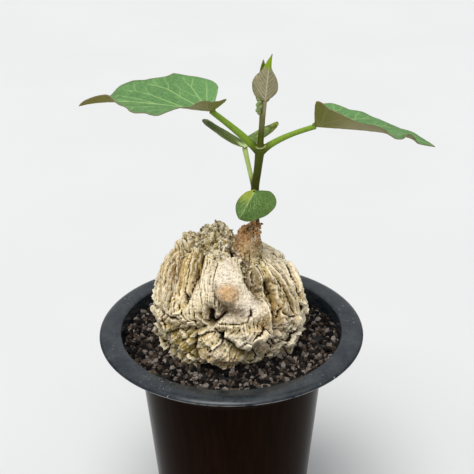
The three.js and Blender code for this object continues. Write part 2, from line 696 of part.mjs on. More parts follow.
add('pot', potGeometry(), material(0x1c1a1b, 0.35));
add('soil', soilGeometry(), material(0x2f2a29, 0.95));
add('caudex', caudexGeometry(), material(0xcbb98f, 0.9));
add('stem', stemGeometry(), material(0x56601a, 0.55));
petioles.forEach((petiole) => add(petiole.name, petioleGeometry(petiole), material(0x86a33c, 0.5)));
leaves.forEach((leaf) => add(leaf.name, leafGeometry(leaf), material(0x5f9460, 0.55)));
add('bud', budGeometry(), material(0x6f8f3a, 0.6));
add('bract', bractGeometry(), material(0x3a2a2c, 0.9));

export default plant;
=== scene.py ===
"""Potted matelea cyclophylla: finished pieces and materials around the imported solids, as an add-on."""

import json
import math

import bpy
import numpy as np
from bpy.props import FloatProperty, FloatVectorProperty, IntProperty, PointerProperty
from mathutils import Matrix, Vector
from mathutils.bvhtree import BVHTree

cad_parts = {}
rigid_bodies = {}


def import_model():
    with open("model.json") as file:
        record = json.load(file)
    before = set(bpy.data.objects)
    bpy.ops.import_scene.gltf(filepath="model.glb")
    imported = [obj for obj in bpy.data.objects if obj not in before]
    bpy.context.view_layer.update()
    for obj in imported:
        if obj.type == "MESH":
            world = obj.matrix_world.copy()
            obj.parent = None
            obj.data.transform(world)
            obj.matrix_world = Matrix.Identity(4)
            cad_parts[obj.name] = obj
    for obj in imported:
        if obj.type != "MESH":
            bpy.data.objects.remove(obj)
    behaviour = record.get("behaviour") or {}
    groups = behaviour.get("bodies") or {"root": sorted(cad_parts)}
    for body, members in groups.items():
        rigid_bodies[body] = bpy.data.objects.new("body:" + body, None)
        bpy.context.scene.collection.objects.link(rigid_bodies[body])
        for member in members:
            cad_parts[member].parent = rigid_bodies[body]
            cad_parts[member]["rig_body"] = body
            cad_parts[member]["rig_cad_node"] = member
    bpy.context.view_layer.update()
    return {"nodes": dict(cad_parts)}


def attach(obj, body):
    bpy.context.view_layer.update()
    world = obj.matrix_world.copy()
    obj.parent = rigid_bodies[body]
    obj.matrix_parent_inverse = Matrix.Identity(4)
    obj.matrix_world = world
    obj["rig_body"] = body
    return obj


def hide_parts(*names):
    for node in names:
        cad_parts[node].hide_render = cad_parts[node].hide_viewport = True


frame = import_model()

bl_info = {
    "name": "Potted matelea cyclophylla",
    "version": (1, 0, 0),
    "blender": (4, 5, 0),
    "location": "3D View > Sidebar > Caudex plant",
    "description": "Dresses the packed solids of a potted caudex plant with fine pieces and materials",
    "category": "Add Mesh",
}

MM = 0.001


# Colour and sizes that a user would change.


def linear(code):
    """An sRGB hex colour as linear RGB."""
    parts = [int(code[i : i + 2], 16) / 255 for i in (1, 3, 5)]
    return tuple(p / 12.92 if p <= 0.04045 else ((p + 0.055) / 1.055) ** 2.4 for p in parts)


def colour(name, description, code):
    """A colour property whose default is an sRGB hex colour."""
    return FloatVectorProperty(
        name=name, description=description, subtype="COLOR", size=3, min=0, max=1, default=linear(code)
    )


def size(name, description, metres, low=0.0):
    """A length property in metres."""
    return FloatProperty(
        name=name, description=description, default=metres, min=low, subtype="DISTANCE", unit="LENGTH"
    )


class StageSettings(bpy.types.PropertyGroup):
    floor_colour: colour("Floor", "Colour of the plain floor", "#cdcdcb")
    floor_size: size("Floor size", "Side of the square floor", 6.0)
    key: FloatProperty(
        name="Key light", description="Strength of the large soft light from above", default=2.8
    )
    key_width: FloatProperty(
        name="Key width",
        description="Angle that the key light covers",
        default=math.radians(38),
        subtype="ANGLE",
    )
    sky: FloatProperty(name="Sky", description="Strength of the even light from all round", default=0.5)


class PotSettings(bpy.types.PropertyGroup):
    rim_colour: colour("Rim", "Satin black of the moulded rim", "#131b22")
    body_colour: colour("Body", "Deep brown-black of the glossy body", "#1c0d05")
    dust_colour: colour("Dust", "Pale dust on the rim", "#a9a9a4")
    segments: IntProperty(name="Segments", description="Faces round the pot", default=160, min=32)


class GritSettings(bpy.types.PropertyGroup):
    dark_colour: colour("Dark grains", "The darkest lava grit", "#0d0b0a")
    light_colour: colour("Light grains", "The palest lava grit", "#8f867d")
    brown_colour: colour("Brown grains", "The brownest lava grit", "#54463a")
    small: size("Smallest grain", "Width of the finest grains", 1.2 * MM)
    large: size("Largest grain", "Width of the coarsest grains", 4.1 * MM)
    grains: IntProperty(
        name="Grains", description="How many grains are spread over the soil", default=4000, min=100
    )
    seed: IntProperty(name="Seed", description="Start of the random draw", default=11)


class CaudexSettings(bpy.types.PropertyGroup):
    cream_colour: colour("Cream", "Clean dry cork", "#e0c68c")
    # The pale colour also serves as painted highlight on crests and as painted light on the shaded foot.
    pale_colour: colour("Pale", "Bleached crests", "#fbefd3")
    tan_colour: colour("Tan", "Warm worn cork", "#cfa064")
    olive_colour: colour("Olive", "Cork stained by algae", "#b79f45")
    rust_colour: colour("Rust", "Red-brown bark round the shoot", "#b9804f")
    # Painted shade: this dark brown darkens narrow cracks and deep hollows.
    crack_shade_colour: colour("Cracks", "Dirt in the cracks", "#33261a")
    fineness: IntProperty(
        name="Fineness", description="Faces along a side of the starting cube", default=128, min=16
    )
    crumbs: IntProperty(name="Crumbs", description="Loose crumbs of cork on the crown", default=1500, min=0)
    seed: IntProperty(name="Seed", description="Start of the random draw", default=5)


class ShootSettings(bpy.types.PropertyGroup):
    stem_colour: colour("Stem", "Dark olive of the lower stem", "#3c3f05")
    stalk_colour: colour("Stalks", "Fresh green of the leaf stalks", "#7d9a35")
    voxel: size("Grain", "Cell width of the fused shoot's surface", 0.22 * MM, 0.1 * MM)


class LeafSettings(bpy.types.PropertyGroup):
    upper_colour: colour("Upper side", "Green of the upper side", "#5b864d")
    vein_colour: colour("Veins", "Pale veins of the upper side", "#aac67e")
    under_colour: colour("Underside", "Olive-brown underside", "#928a4e")
    margin_colour: colour("Margin", "Thin brown edge", "#7d7350")
    young_colour: colour("Young underside", "Grey-taupe down of the young leaves", "#938c66")
    tip_colour: colour("Young tip", "Bright green tips of the young leaves", "#7a9418")
    thickness: size("Thickness", "Thickness of a blade", 0.36 * MM)


# Small tools for meshes.


def alone(piece=None):
    """Leaves only this piece selected and active, because an operator acts on all that is."""
    bpy.ops.object.select_all(action="DESELECT")
    if piece is not None:
        piece.select_set(True)
    bpy.context.view_layer.objects.active = piece


def added(name):
    """Names the primitive that was just added, and sets its place into its mesh."""
    piece = bpy.context.object
    piece.name = piece.data.name = name
    bpy.ops.object.transform_apply(location=True, rotation=True, scale=True)
    return piece


def places(piece):
    """The vertices of a piece as an array, in metres."""
    flat = np.empty(len(piece.data.vertices) * 3)
    piece.data.vertices.foreach_get("co", flat)
    return flat.reshape(-1, 3)


def move_to(piece, points):
    """Sets the vertices of a piece from an array, in metres."""
    piece.data.vertices.foreach_set("co", np.asarray(points, np.float32).ravel())
    piece.data.update()


def mark(piece, name, values):
    """Stores a number, or a vector, for each vertex of a piece."""
    values = np.asarray(values, np.float32)
    vector = values.ndim == 2
    layer = piece.data.attributes.new(name, "FLOAT_VECTOR" if vector else "FLOAT", "POINT")
    layer.data.foreach_set("vector" if vector else "value", values.ravel())


def hollows(piece, rounds):
    """Depth in mm of each vertex below the average of its surroundings; crests are negative."""
    mesh = piece.data
    pairs = np.empty(len(mesh.edges) * 2, np.int64)
    mesh.edges.foreach_get("vertices", pairs)
    a, b = pairs.reshape(-1, 2).T
    here = places(piece) / MM
    normal = np.empty(here.size)
    mesh.vertices.foreach_get("normal", normal)
    count = np.bincount(a, minlength=len(here)) + np.bincount(b, minlength=len(here))
    settled = here.copy()
    for _ in range(rounds):
        for k in range(3):
            column = settled[:, k].copy()
            total = np.bincount(a, column[b], len(here)) + np.bincount(b, column[a], len(here))
            settled[:, k] = total / count
    return np.sum((settled - here) * normal.reshape(-1, 3), axis=1)


def apply_modifier(piece, kind, **settings):
    """Adds a modifier with its settings and applies it."""
    alone(piece)
    modifier = piece.modifiers.new(kind.lower(), kind)
    for name, value in settings.items():
        setattr(modifier, name, value)
    bpy.ops.object.modifier_apply(modifier=modifier.name)


def in_edit(piece, *steps):
    """Runs mesh operators in edit mode on the whole piece."""
    alone(piece)
    bpy.ops.object.mode_set(mode="EDIT")
    bpy.ops.mesh.select_all(action="SELECT")
    for step in steps:
        step()
    bpy.ops.object.mode_set(mode="OBJECT")


def weld(distance=1e-6):
    """Joins vertices that share a place."""
    bpy.ops.mesh.remove_doubles(threshold=distance)


def joined(pieces):
    """Joins pieces into the first of them."""
    alone(pieces[0])
    for piece in pieces[1:]:
        piece.select_set(True)
    bpy.ops.object.join()
    return pieces[0]


def dress(piece, slot, nodes, *materials, angle=None):
    """Gives a piece its materials and body, and hides the solids that it stands for; the slot is not used."""
    for material in materials:
        piece.data.materials.append(material)
    alone(piece)
    if angle is None:
        bpy.ops.object.shade_smooth()
    else:
        bpy.ops.object.shade_smooth_by_angle(angle=math.radians(angle))
    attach(piece, "root")
    if nodes:
        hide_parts(*nodes)


def mesh_piece(name, points, faces):
    """A piece from arrays of points in metres and of triangles."""
    mesh = bpy.data.meshes.new(name)
    mesh.vertices.add(len(points))
    mesh.vertices.foreach_set("co", np.asarray(points, np.float32).ravel())
    mesh.loops.add(faces.size)
    mesh.loops.foreach_set("vertex_index", faces.ravel())
    mesh.polygons.add(len(faces))
    mesh.polygons.foreach_set("loop_start", np.arange(0, faces.size, faces.shape[1]))
    mesh.update(calc_edges=True)
    piece = bpy.data.objects.new(name, mesh)
    bpy.context.scene.collection.objects.link(piece)
    return piece


# Small tools for materials.


def dimmed(tone, share):
    """A colour made darker or lighter."""
    return tuple(c * share for c in tone)


def rgba(value):
    """A colour with its alpha, from a hex colour, from three numbers or from one number for a grey."""
    if isinstance(value, str):
        value = linear(value)
    return (*(value if hasattr(value, "__len__") else (value,) * 3), 1)


def new_material(name):
    """An empty node material and its node tree."""
    material = bpy.data.materials.new(name)
    material.use_nodes = True
    material.node_tree.nodes.clear()
    return material, material.node_tree


def node(tree, kind, inputs=None, stops=(), **settings):
    """Adds a node with its fields, ramp stops and inputs; another node is linked by its first output."""
    made = tree.nodes.new("ShaderNode" + kind)
    for name, value in settings.items():
        setattr(made, name, value)
    for key, value in (inputs or {}).items():
        socket = made.inputs[key]
        if isinstance(value, bpy.types.Node):
            value = next(output for output in value.outputs if output.enabled)
        if isinstance(value, bpy.types.NodeSocket):
            tree.links.new(value, socket)
        else:
            socket.default_value = rgba(value) if socket.type == "RGBA" else value
    if stops:
        ramp = made.color_ramp.elements
        ramp[0].position, ramp[-1].position = stops[0][0], stops[-1][0]
        for position, _ in stops[1:-1]:
            ramp.new(position)
        for element, (_, value) in zip(ramp, stops):
            element.color = rgba(value)
    return made


def coats(tree, ground, *layers, blend="MIX"):
    """Lays coats of colour on a ground, one over the other.

    Each coat is its tint, its strength and what it follows: nodes or names of attributes, or a tuple of one
    of them with the two values between which the coat comes in and, where they aren't 0 and 1, its two
    shares there.
    """
    for tint, factor, *guides in layers:
        for guide in guides:
            guide, *limits = guide if isinstance(guide, tuple) else (guide,)
            if isinstance(guide, str):
                guide = node(tree, "Attribute", attribute_name=guide).outputs["Fac"]
            if limits:
                limits = dict(zip(("From Min", "From Max", "To Min", "To Max"), limits))
                guide = node(tree, "MapRange", {"Value": guide, **limits}, interpolation_type="SMOOTHSTEP")
            factor = node(tree, "Math", {0: factor, 1: guide}, operation="MULTIPLY", use_clamp=True)
        ground = node(tree, "Mix", {0: factor, 6: ground, 7: tint}, data_type="RGBA", blend_type=blend)
    return ground


def finished(material, inputs):
    """Gives a material its shader with these inputs, and returns it."""
    shader = node(material.node_tree, "BsdfPrincipled", inputs)
    node(material.node_tree, "OutputMaterial", {0: shader})
    return material


def mottled(name, tone, scale, dip, roughness, detail=2.0):
    """A material of one colour that dips to a share of itself in soft spots."""
    material, tree = new_material(name)
    at = node(tree, "TexCoord").outputs["Object"]
    spots = node(tree, "TexNoise", {"Vector": at, "Scale": scale, "Detail": detail})
    tint = node(tree, "ValToRGB", {0: spots}, stops=((0.3, dimmed(tone, dip)), (0.7, tone)))
    return finished(material, {"Base Color": tint, "Roughness": roughness})


# Noise, the same at each run.


def drawn(cell, seed):
    """Three random shares for each whole-numbered cell."""
    x, y, z = cell.T
    bits = (x * 374761393 + y * 668265263 + z * 2147483647 + seed * 974634777) & 0xFFFFFFFF
    bits = ((bits ^ (bits >> 13)) * 1274126177) & 0xFFFFFFFF
    bits = bits ^ (bits >> 16)
    shares = []
    for _ in range(3):
        bits = (bits * 1664525 + 1013904223) & 0xFFFFFFFF
        shares.append((bits >> 8) / 2**24)
    return np.stack(shares, 1)


def noise(points, seed):
    """Smooth noise from -1 to 1 with one swelling or so for each unit of length."""
    cell = np.floor(points).astype(np.int64)
    inside = points - cell
    ease = inside**3 * (inside * (inside * 6 - 15) + 10)
    total = np.zeros(len(points))
    for corner in np.ndindex(2, 2, 2):
        slope = drawn(cell + corner, seed) * 2 - 1
        weight = np.prod(np.where(corner, ease, 1 - ease), axis=1)
        total += weight * np.sum(slope * (inside - corner), axis=1)
    return np.clip(total * 1.5, -1, 1)


def layered(points, seed):
    """Noise on two scales, the second twice as fine and half as strong."""
    return noise(points, seed) + 0.5 * noise(points * 2.03, seed + 1)


def plates(points, seed):
    """Cells: distances to the two nearest middles, a random draw and the way from the middle."""
    base = np.floor(points).astype(np.int64)
    near = np.full(len(points), 9.0)
    second = near.copy()
    key = np.zeros((len(points), 3))
    arm = np.zeros((len(points), 3))
    for step in np.ndindex(3, 3, 3):
        cell = base + np.array(step) - 1
        share = drawn(cell, seed)
        away = points - (cell + share)
        distance = np.linalg.norm(away, axis=1)
        closer = distance < near
        second = np.where(closer, near, np.minimum(second, distance))
        near = np.where(closer, distance, near)
        key[closer] = share[closer]
        arm[closer] = away[closer]
    return near, second, key, arm


def smooth_step(low, high, values):
    """0 at low, 1 at high, with a soft start and end."""
    share = np.clip((values - low) / (high - low), 0, 1)
    return share * share * (3 - 2 * share)


def ledges(field):
    """A smooth field made into terraces with steep fronts."""
    base = np.floor(field)
    return base + smooth_step(0.72, 1, field - base)


def curve_through(pairs, values):
    """A piecewise cubic through [x, y] pairs that never overshoots them."""
    xs, ys = np.array(pairs, float).T
    rise = np.diff(ys) / np.diff(xs)
    slope = np.concatenate([[rise[0]], np.zeros(len(xs) - 2), [rise[-1]]])
    for k in range(1, len(xs) - 1):
        before, after = rise[k - 1], rise[k]
        slope[k] = 0 if before * after <= 0 else 2 * before * after / (before + after)
    values = np.clip(values, xs[0], xs[-1])
    k = np.clip(np.searchsorted(xs, values, side="right") - 1, 0, len(xs) - 2)
    span = xs[k + 1] - xs[k]
    t = (values - xs[k]) / span
    start = (1 + 2 * t) * (1 - t) ** 2 * ys[k] + t * (1 - t) ** 2 * span * slope[k]
    return start + t * t * (3 - 2 * t) * ys[k + 1] + t * t * (t - 1) * span * slope[k + 1]


# The caudex's form, as in its solid. Azimuth 0 is the front and 90 is +X; lengths are in mm.

CAUDEX_MIDDLE = np.array([-0.4, 0, 125.5])
CAUDEX_HALF = (33.4, 30.5, 29, 34)
CAUDEX_ROUNDNESS = 2.45
# The bark's fibres are laid out on a ball of this radius.
FIBRE_RADIUS = 33
# Where the shoot stands in the crown, across and back.
SHOOT_FOOT = (11.5, 2.3)

# Azimuth, elevation, spread across and up in degrees, height in mm, steepness.
SWELLINGS = (
    (-98, 46, 34, 19, 3.2, 2),
    (-62, 56, 20, 14, 2.2, 2),
    (92, 46, 34, 22, -3.4, 2),
    (4, -34, 34, 16, -2.6, 2),
    (48, -26, 20, 14, -2.4, 2),
    (-3, 50, 13, 26, 1.6, 3),
    (-3, 38, 7.6, 7.4, 2.8, 5),
    (-6, 25.5, 13, 5, -1.8, 2),
    (8, 24, 19, 9, 2.2, 3),
    (27, 22, 8, 14, 1.4, 2),
    (-44, 22, 18, 12, 1.2, 2),
    (-44, -7, 17, 11, 1.8, 3),
    (-12, -14, 13, 10, 2.2, 3),
    (15, 2, 13, 9, 2.4, 3),
    (52, 0, 11, 10, 1.6, 3),
    (62, 18, 16, 18, 0.8, 2),
    (84, 77, 8.5, 7.6, 9.8, 5),
    (104, 70, 8, 8, 5.6, 4),
    (-82, 77, 15, 17, 5.4, 2.5),
    (-90, 84.6, 6.3, 7.5, 6.4, 2.2),
    (-88, 64, 8, 6, 2.6, 3),
    (-98, 55, 6, 5, 2.6, 6),
    (-84, 63, 7, 5, 2.4, 6),
    (-112, 74, 6.5, 6, 2.6, 5),
    (165, 30, 30, 22, 1.6, 2),
    (-140, 5, 24, 20, 1.4, 2),
    (140, -10, 26, 10, 1.6, 3),
    (0, -90, 14, 14, 12, 2),
)

# Half width and depth in mm, then the path as azimuth and elevation.
CREASES = {
    "slit": (0.7, 2.2, [(-55, 11.2), (-44.8, 13)]),
    "slit tail": (0.4, 0.6, [(-44.8, 13), (-34.8, 16.1), (-29.7, 14.5), (-20.9, 17.5)]),
    "star top": (1.8, 4.8, [(-17.3, 25.5), (-16.6, 20), (-16.2, 14.6)]),
    "star left": (0.8, 1.8, [(-25.1, 21.1), (-20.8, 15.9), (-16.2, 14.6)]),
    "star upper right": (1.2, 3.4, [(-15, 16.2), (-9, 19.5), (-3.7, 24.7)]),
    "star right": (0.45, 1.3, [(-15.6, 15.3), (-6.8, 15.4), (4.6, 15.1), (13.1, 17.1), (16.7, 22.7)]),
    "star notch": (0.95, 2.4, [(16.4, 21.5), (17.3, 25)]),
    "star foot": (1.4, 2.4, [(-15.4, 14.6), (-18.6, 12.8), (-24, 9.6), (-29.8, 6.2)]),
    "left gap": (0.9, 1.5, [(-67, -8), (-54, -4.5), (-46, 4), (-40, 10.9), (-35.6, 12.3)]),
    "left gap end": (0.7, 1.0, [(-35.6, 12.3), (-28.8, 7.8), (-21.4, 3.9)]),
    "middle gap": (1.5, 3.4, [(-13.5, 7.5), (-5.1, 1.5), (1.2, -2.4), (6.5, -9), (12, -14), (18, -15)]),
    "snout top": (0.9, 1.6, [(-31, -3), (-28.1, 0), (-19.7, 6.1), (-13.5, 6.6)]),
    "right gap": (0.8, 2.4, [(16.5, -9.7), (21.6, -5.4), (29, -5.5), (38, -6), (40.5, -13.9)]),
    "snout side": (1.0, 2.4, [(-28.2, 1.5), (-31.4, -11), (-27.5, -24)]),
    "under the cheek": (1.0, 1.8, [(-33, 8.9), (-43, 3.1), (-50, -2), (-59, -8), (-70, -10)]),
    "flake left": (0.5, 1.4, [(24.3, -9), (24.2, -18)]),
    "flake right": (0.6, 1.4, [(32.4, -7.6), (39, -17)]),
    "valley": (1.6, 0.9, [(-54, 67), (-42.6, 55.4), (-41, 49.4), (-38.9, 43.4), (-40, 36.8), (-39.8, 30.9),
        (-44, 20)]),
    "valley crack": (0.7, 2.4, [(-40.6, 49), (-41.8, 46), (-41.1, 41)]),
    "valley foot crack": (0.8, 2.6, [(-45, 34), (-42.5, 31.5), (-40.5, 28)]),
    "left groove a": (0.6, 1.6, [(-97, 58), (-86.2, 43.4), (-69.3, 38.7), (-59, 30), (-57, 24.7), (-56, 17)]),
    "left groove b": (0.5, 1.3, [(-99.5, 53.3), (-75.5, 49.7), (-62.5, 41.8), (-55.6, 33.5), (-50.2, 25.5)]),
    "left groove c": (0.6, 1.6, [(-104, 48), (-84, 29.7), (-75.4, 22), (-71.2, 11.7), (-70, 2)]),
    "left groove d": (0.45, 1.0, [(-94, 40), (-76, 33), (-66, 25), (-64, 15)]),
    "recess": (2.3, 3.2, [(38, 67), (28.1, 62), (26.3, 50.2), (28.6, 41), (28.3, 36)]),
    "long groove": (2.3, 3.2, [(45, 41), (44.5, 34.5), (43.5, 23.2), (43.4, 9.6), (42.8, -2.2), (42, -8)]),
    "groove head": (1.2, 2.8, [(50, 43.5), (46.5, 37.8), (45, 32)]),
    "right rib 1": (0.45, 1.3, [(61, 70.7), (56.6, 65), (48.6, 55.6), (42.6, 47), (42, 41.4)]),
    "right rib 2": (0.45, 1.4, [(73.7, 66), (64, 57.8), (58.7, 48.9), (53, 40.5), (54.9, 32.8), (55.5, 24),
        (56.6, 14.6)]),
    "right rib 3": (0.45, 1.4, [(92, 57.5), (77.4, 50.6), (68.7, 42.9), (67.4, 33.7), (65, 26), (62.8, 16.8),
        (61.5, 8)]),
    "right rib 4": (0.5, 1.4, [(100.4, 50.3), (90.8, 42.3), (84.5, 34.3), (80.5, 26.8), (75.8, 19.5)]),
    "right foot crack": (0.6, 1.6, [(50, 13.4), (54, 8.5), (64.4, 5.5)]),
    "low right": (0.7, 1.4, [(39, -0.7), (45.3, -0.8), (59.4, -9.7)]),
    "under the knob": (0.7, 1.0, [(-12, 37), (-9.5, 33), (-4.5, 30.8), (2, 30.8), (6.9, 35)]),
    "crown pit": (1.9, 4.4, [(15, 76.5), (13, 79), (20, 83)]),
    "recess rib": (0.5, 1.4, [(42, 59), (30.4, 47), (27.5, 39.3)]),
    "side cleft": (1.1, 2.0, [(101, 48), (104, 34), (100, 10)]),
    "back cleft": (1.2, 2.4, [(176, 66), (184, 40), (172, 18), (178, -4)]),
    "back side cleft": (1.1, 2.0, [(-128, 60), (-118, 34), (-126, 8)]),
    "back groove a": (0.6, 1.5, [(150, 64), (148, 40), (140, 20), (143, 4)]),
    "back groove b": (0.6, 1.5, [(-154, 62), (-150, 38), (-156, 16), (-150, 0)]),
}
# Plates of bark that stand proud of what lies on the right of their edge, seen going along it from outside:
# height of the edge, depth and width of the fall in mm, then the path as azimuth and elevation.
EDGES = {
    "lip": (1.2, 4.2, 5.5, [(15, 80), (16, 76), (17.4, 63.7), (16.8, 55.9), (16, 48.3), (19.5, 42.7),
        (23.6, 36.1), (31, 32.6), (32.2, 26.6), (32.2, 21.7), (33.5, 15.3), (33.9, 6.7), (36.7, 0.2),
        (38, -6)]),
    "valley": (0.6, 2.2, 4.0, [(-74, 70.3), (-51.4, 60.9), (-46.5, 52.9), (-42.5, 44.5), (-43.1, 37.5),
        (-42.4, 30.6), (-44, 22)]),
    "left band": (0.8, 2.0, 2.6, [(-100, 58), (-90, 50), (-85, 44.9), (-69.5, 38.6), (-61.9, 31.3),
        (-58, 22.3), (-57, 12)]),
    "left band end": (0.5, 1.1, 2.2, [(-57, 26), (-58.1, 35.5), (-66.8, 42.9), (-78.2, 48.8), (-92, 55)]),
    "far left": (0.6, 1.4, 2.6, [(-72, 8), (-79.8, 19.8), (-90.3, 27.4), (-99, 35), (-108, 44)]),
    "right plate a": (0.8, 1.8, 2.4, [(54.1, 36.1), (53, 42.9), (58, 50.1), (68.8, 57.1), (78, 61)]),
    "right plate b": (0.9, 2.4, 2.8, [(62.5, 6), (61.9, 9.3), (60.7, 19.9), (60.4, 30), (64.8, 40.7),
        (73.2, 50.2), (84, 55)]),
    "right plate c": (0.8, 1.9, 2.4, [(69.3, 15.6), (66.5, 25.4), (69.9, 32.4), (73.1, 39.6), (79.2, 46.7),
        (88, 50)]),
    "right plate d": (0.8, 1.9, 2.6, [(80.8, 12), (80.8, 17.8), (86.3, 27.3), (95.4, 34.4), (110, 42)]),
    "groove side": (0.5, 1.2, 2.6, [(52.4, 6), (52.4, 8.8), (51.2, 15.2), (48.4, 24.4), (46.2, 33.3),
        (43, 41)]),
    "nose left": (0.5, 1.5, 2.6, [(6, 29.6), (-5, 32.2), (-12.8, 37.6), (-17.2, 46.4), (-18, 57), (-16, 68)]),
    "recess far side": (0.5, 1.4, 2.2, [(30, 38), (27.5, 42), (28, 48), (33, 56), (42, 63)]),
    "back plate a": (0.7, 1.8, 3.5, [(150, 0), (146, 20), (152, 40), (160, 62)]),
    "back plate b": (0.7, 1.8, 3.5, [(-172, 60), (-160, 38), (-164, 16), (-158, -2)]),
    "side plate a": (0.7, 1.6, 3.0, [(118, 0), (122, 18), (116, 38), (122, 60)]),
    "side plate b": (0.7, 1.6, 3.0, [(-136, 58), (-128, 36), (-134, 14), (-128, -2)]),
}


# Dirt and painted shade, dark in the recesses, under the knob and along the creases, then where algae grow:
# strength, half width in mm, then the path.
DIRT_AND_SHADE = (
    (1.0, 2.4, [(34, 66), (26, 62.1), (23.5, 50.2), (26.3, 39.6), (28, 34)]),
    (0.75, 2.6, [(38, 60), (34, 50), (34, 41)]),
    (0.7, 1.4, [(49.2, 57.8), (39.2, 50.5)]),
    (0.8, 2.8, [(-11, 28), (-2, 25.5), (7, 26)]),
    (0.7, 0.9, [(-110, 46), (-85, 46), (-65, 36.5), (-57.5, 24)]),
    (0.6, 0.5, [(-112.5, 39.5), (-92.5, 37.5), (-74.5, 29)]),
    (0.5, 0.7, [(-104.5, 31), (-95, 20.5), (-83.5, 13.5)]),
    (0.7, 0.8, [(-68, 68.5), (-45.5, 54), (-40, 45.5)]),
    (0.5, 0.5, [(-69.5, 54.5), (-53.5, 41), (-49, 30)]),
    (0.8, 0.6, [(88, 61), (66, 52), (60, 43), (60.5, 32)]),
    (0.6, 1.3, [(52, 41), (55.5, 33.5), (55.5, 25)]),
    (0.7, 0.5, [(86.5, 51), (75.5, 42.5), (68.5, 31.5), (66, 20)]),
    (1.0, 1.0, [(42, 42), (43, 36)]),
    (0.5, 0.6, [(68, 27), (67, 14.5), (68, 4)]),
    (0.6, 0.6, [(73.5, 61.5), (49, 52), (43, 42.5)]),
    (1.0, 1.7, [(10.7, 80.3), (14.4, 77.7)]),
    (1.0, 1.4, [(50.1, 42.7), (46.5, 37.8), (45.2, 33.2)]),
    (0.6, 1.5, [(-71.9, 53.6), (-62.4, 46.9), (-59.3, 39.4), (-61.3, 29.3), (-57.6, 22.8)]),
    (0.9, 0.8, [(-54.5, 11.4), (-44.8, 13)]),
    (0.5, 1.4, [(-64.5, 17.5), (-62.1, 10.7)]),
    (1.0, 2.0, [(-17.3, 25), (-16.2, 15.4)]),
    (1.0, 1.2, [(-15, 16.2), (-3.7, 24.7)]),
    (0.7, 1.2, [(-26, 21.5), (-16.2, 14.6)]),
    (0.6, 1.6, [(-28, 9), (-22.3, 13.3), (-15.3, 12)]),
    (0.8, 1.7, [(-11.7, 8.9), (-5.1, 1.5), (1.2, -1.4), (7, -9), (13, -16), (19.2, -18.7)]),
    (0.8, 1.3, [(22.8, -8.7), (23.9, -3), (38.8, -9.1), (42.3, -14.8)]),
    (0.7, 1.2, [(-28.2, 1.5), (-31.4, -11), (-27.5, -21.8)]),
    (0.6, 1.3, [(-35.8, 8.9), (-43, 3.1), (-59.1, -7.9)]),
    (0.6, 0.6, [(119.1, 44.2), (94.7, 42.5), (80, 34.7), (73.9, 31.6)]),
    (0.8, 1.5, [(47.8, -1.1), (54.7, -8)]),
    (0.7, 1.3, [(55, 4.6), (63, -6.5)]),
    (0.45, 1.6, [(94.6, 48.5), (65.2, 42.3), (63.1, 33.3)]),
    (0.45, 1.6, [(62.1, 33), (59.6, 24.9), (59.5, 16.5)]),
    (0.7, 2.0, [(44.5, 34.5), (42, 23.2), (41, 9.6), (41.5, -2.2)]),
    (0.5, 1.2, [(52.5, 34), (52, 22), (53.5, 10)]),
    (0.5, 1.0, [(3.9, 30.1), (-5, 32.2), (-12.8, 37.6), (-17.2, 46.4)]),
)
# Holes that light doesn't reach.
HOLES = (
    (1.0, 1.2, [(-17.3, 25.5), (-16.6, 20), (-16.0, 14.6)]),
    (1.0, 0.7, [(-15, 16.2), (-9, 19.5), (-4.5, 23.5)]),
    (0.9, 0.8, [(16.4, 21.5), (17.3, 25)]),
    (1.0, 0.9, [(49, 43), (46.5, 38.5)]),
    (0.8, 0.7, [(46.5, 38.5), (45.5, 33)]),
    (1.0, 1.1, [(13, 79), (18, 81)]),
    (0.9, 0.5, [(-54, 11.3), (-45, 13)]),
    (0.8, 0.6, [(-41, 47), (-41, 42)]),
    (0.8, 0.6, [(-44.5, 33), (-41.5, 29)]),
    (0.8, 0.8, [(-9, 4), (1.2, -2.4), (6.5, -9)]),
    (0.8, 0.7, [(-29, 2), (-31.4, -9)]),
    (0.8, 0.7, [(38.5, -6), (40.5, -13)]),
)
ALGAE = (
    (0.6, 2.6, [(34, 64), (26, 58), (25, 48), (28, 38)]),
    (0.5, 1.6, [(45, 36), (43, 24), (42, 8)]),
    (0.9, 3.0, [(-63.5, 56.5), (-52.6, 49.1), (-46, 43)]),
    (1.0, 2.2, [(-58.4, 67.1), (-48.3, 58.8), (-44, 50.9)]),
    (0.7, 1.4, [(-89.7, 39), (-75.9, 34.2)]),
    (0.8, 3.2, [(75.5, 66.7), (54.7, 55.1), (44.4, 44)]),
    (0.7, 5.0, [(-56, -5), (-41, -5)]),
    (0.7, 4.5, [(-44.3, -18), (-30.9, -15)]),
    (0.8, 3.0, [(-32.9, 2.3), (-22, -1.4)]),
    (0.9, 2.2, [(-3, -2), (6, -12), (16, -19)]),
)

# The smooth pale ridge: azimuth, elevation, spread across and up, steepness.
RIDGE = ((-2, 47, 13, 18, 3), (14, 30, 17, 15, 3), (-2, 64, 8, 12, 3), (0, 24, 20, 8, 3))
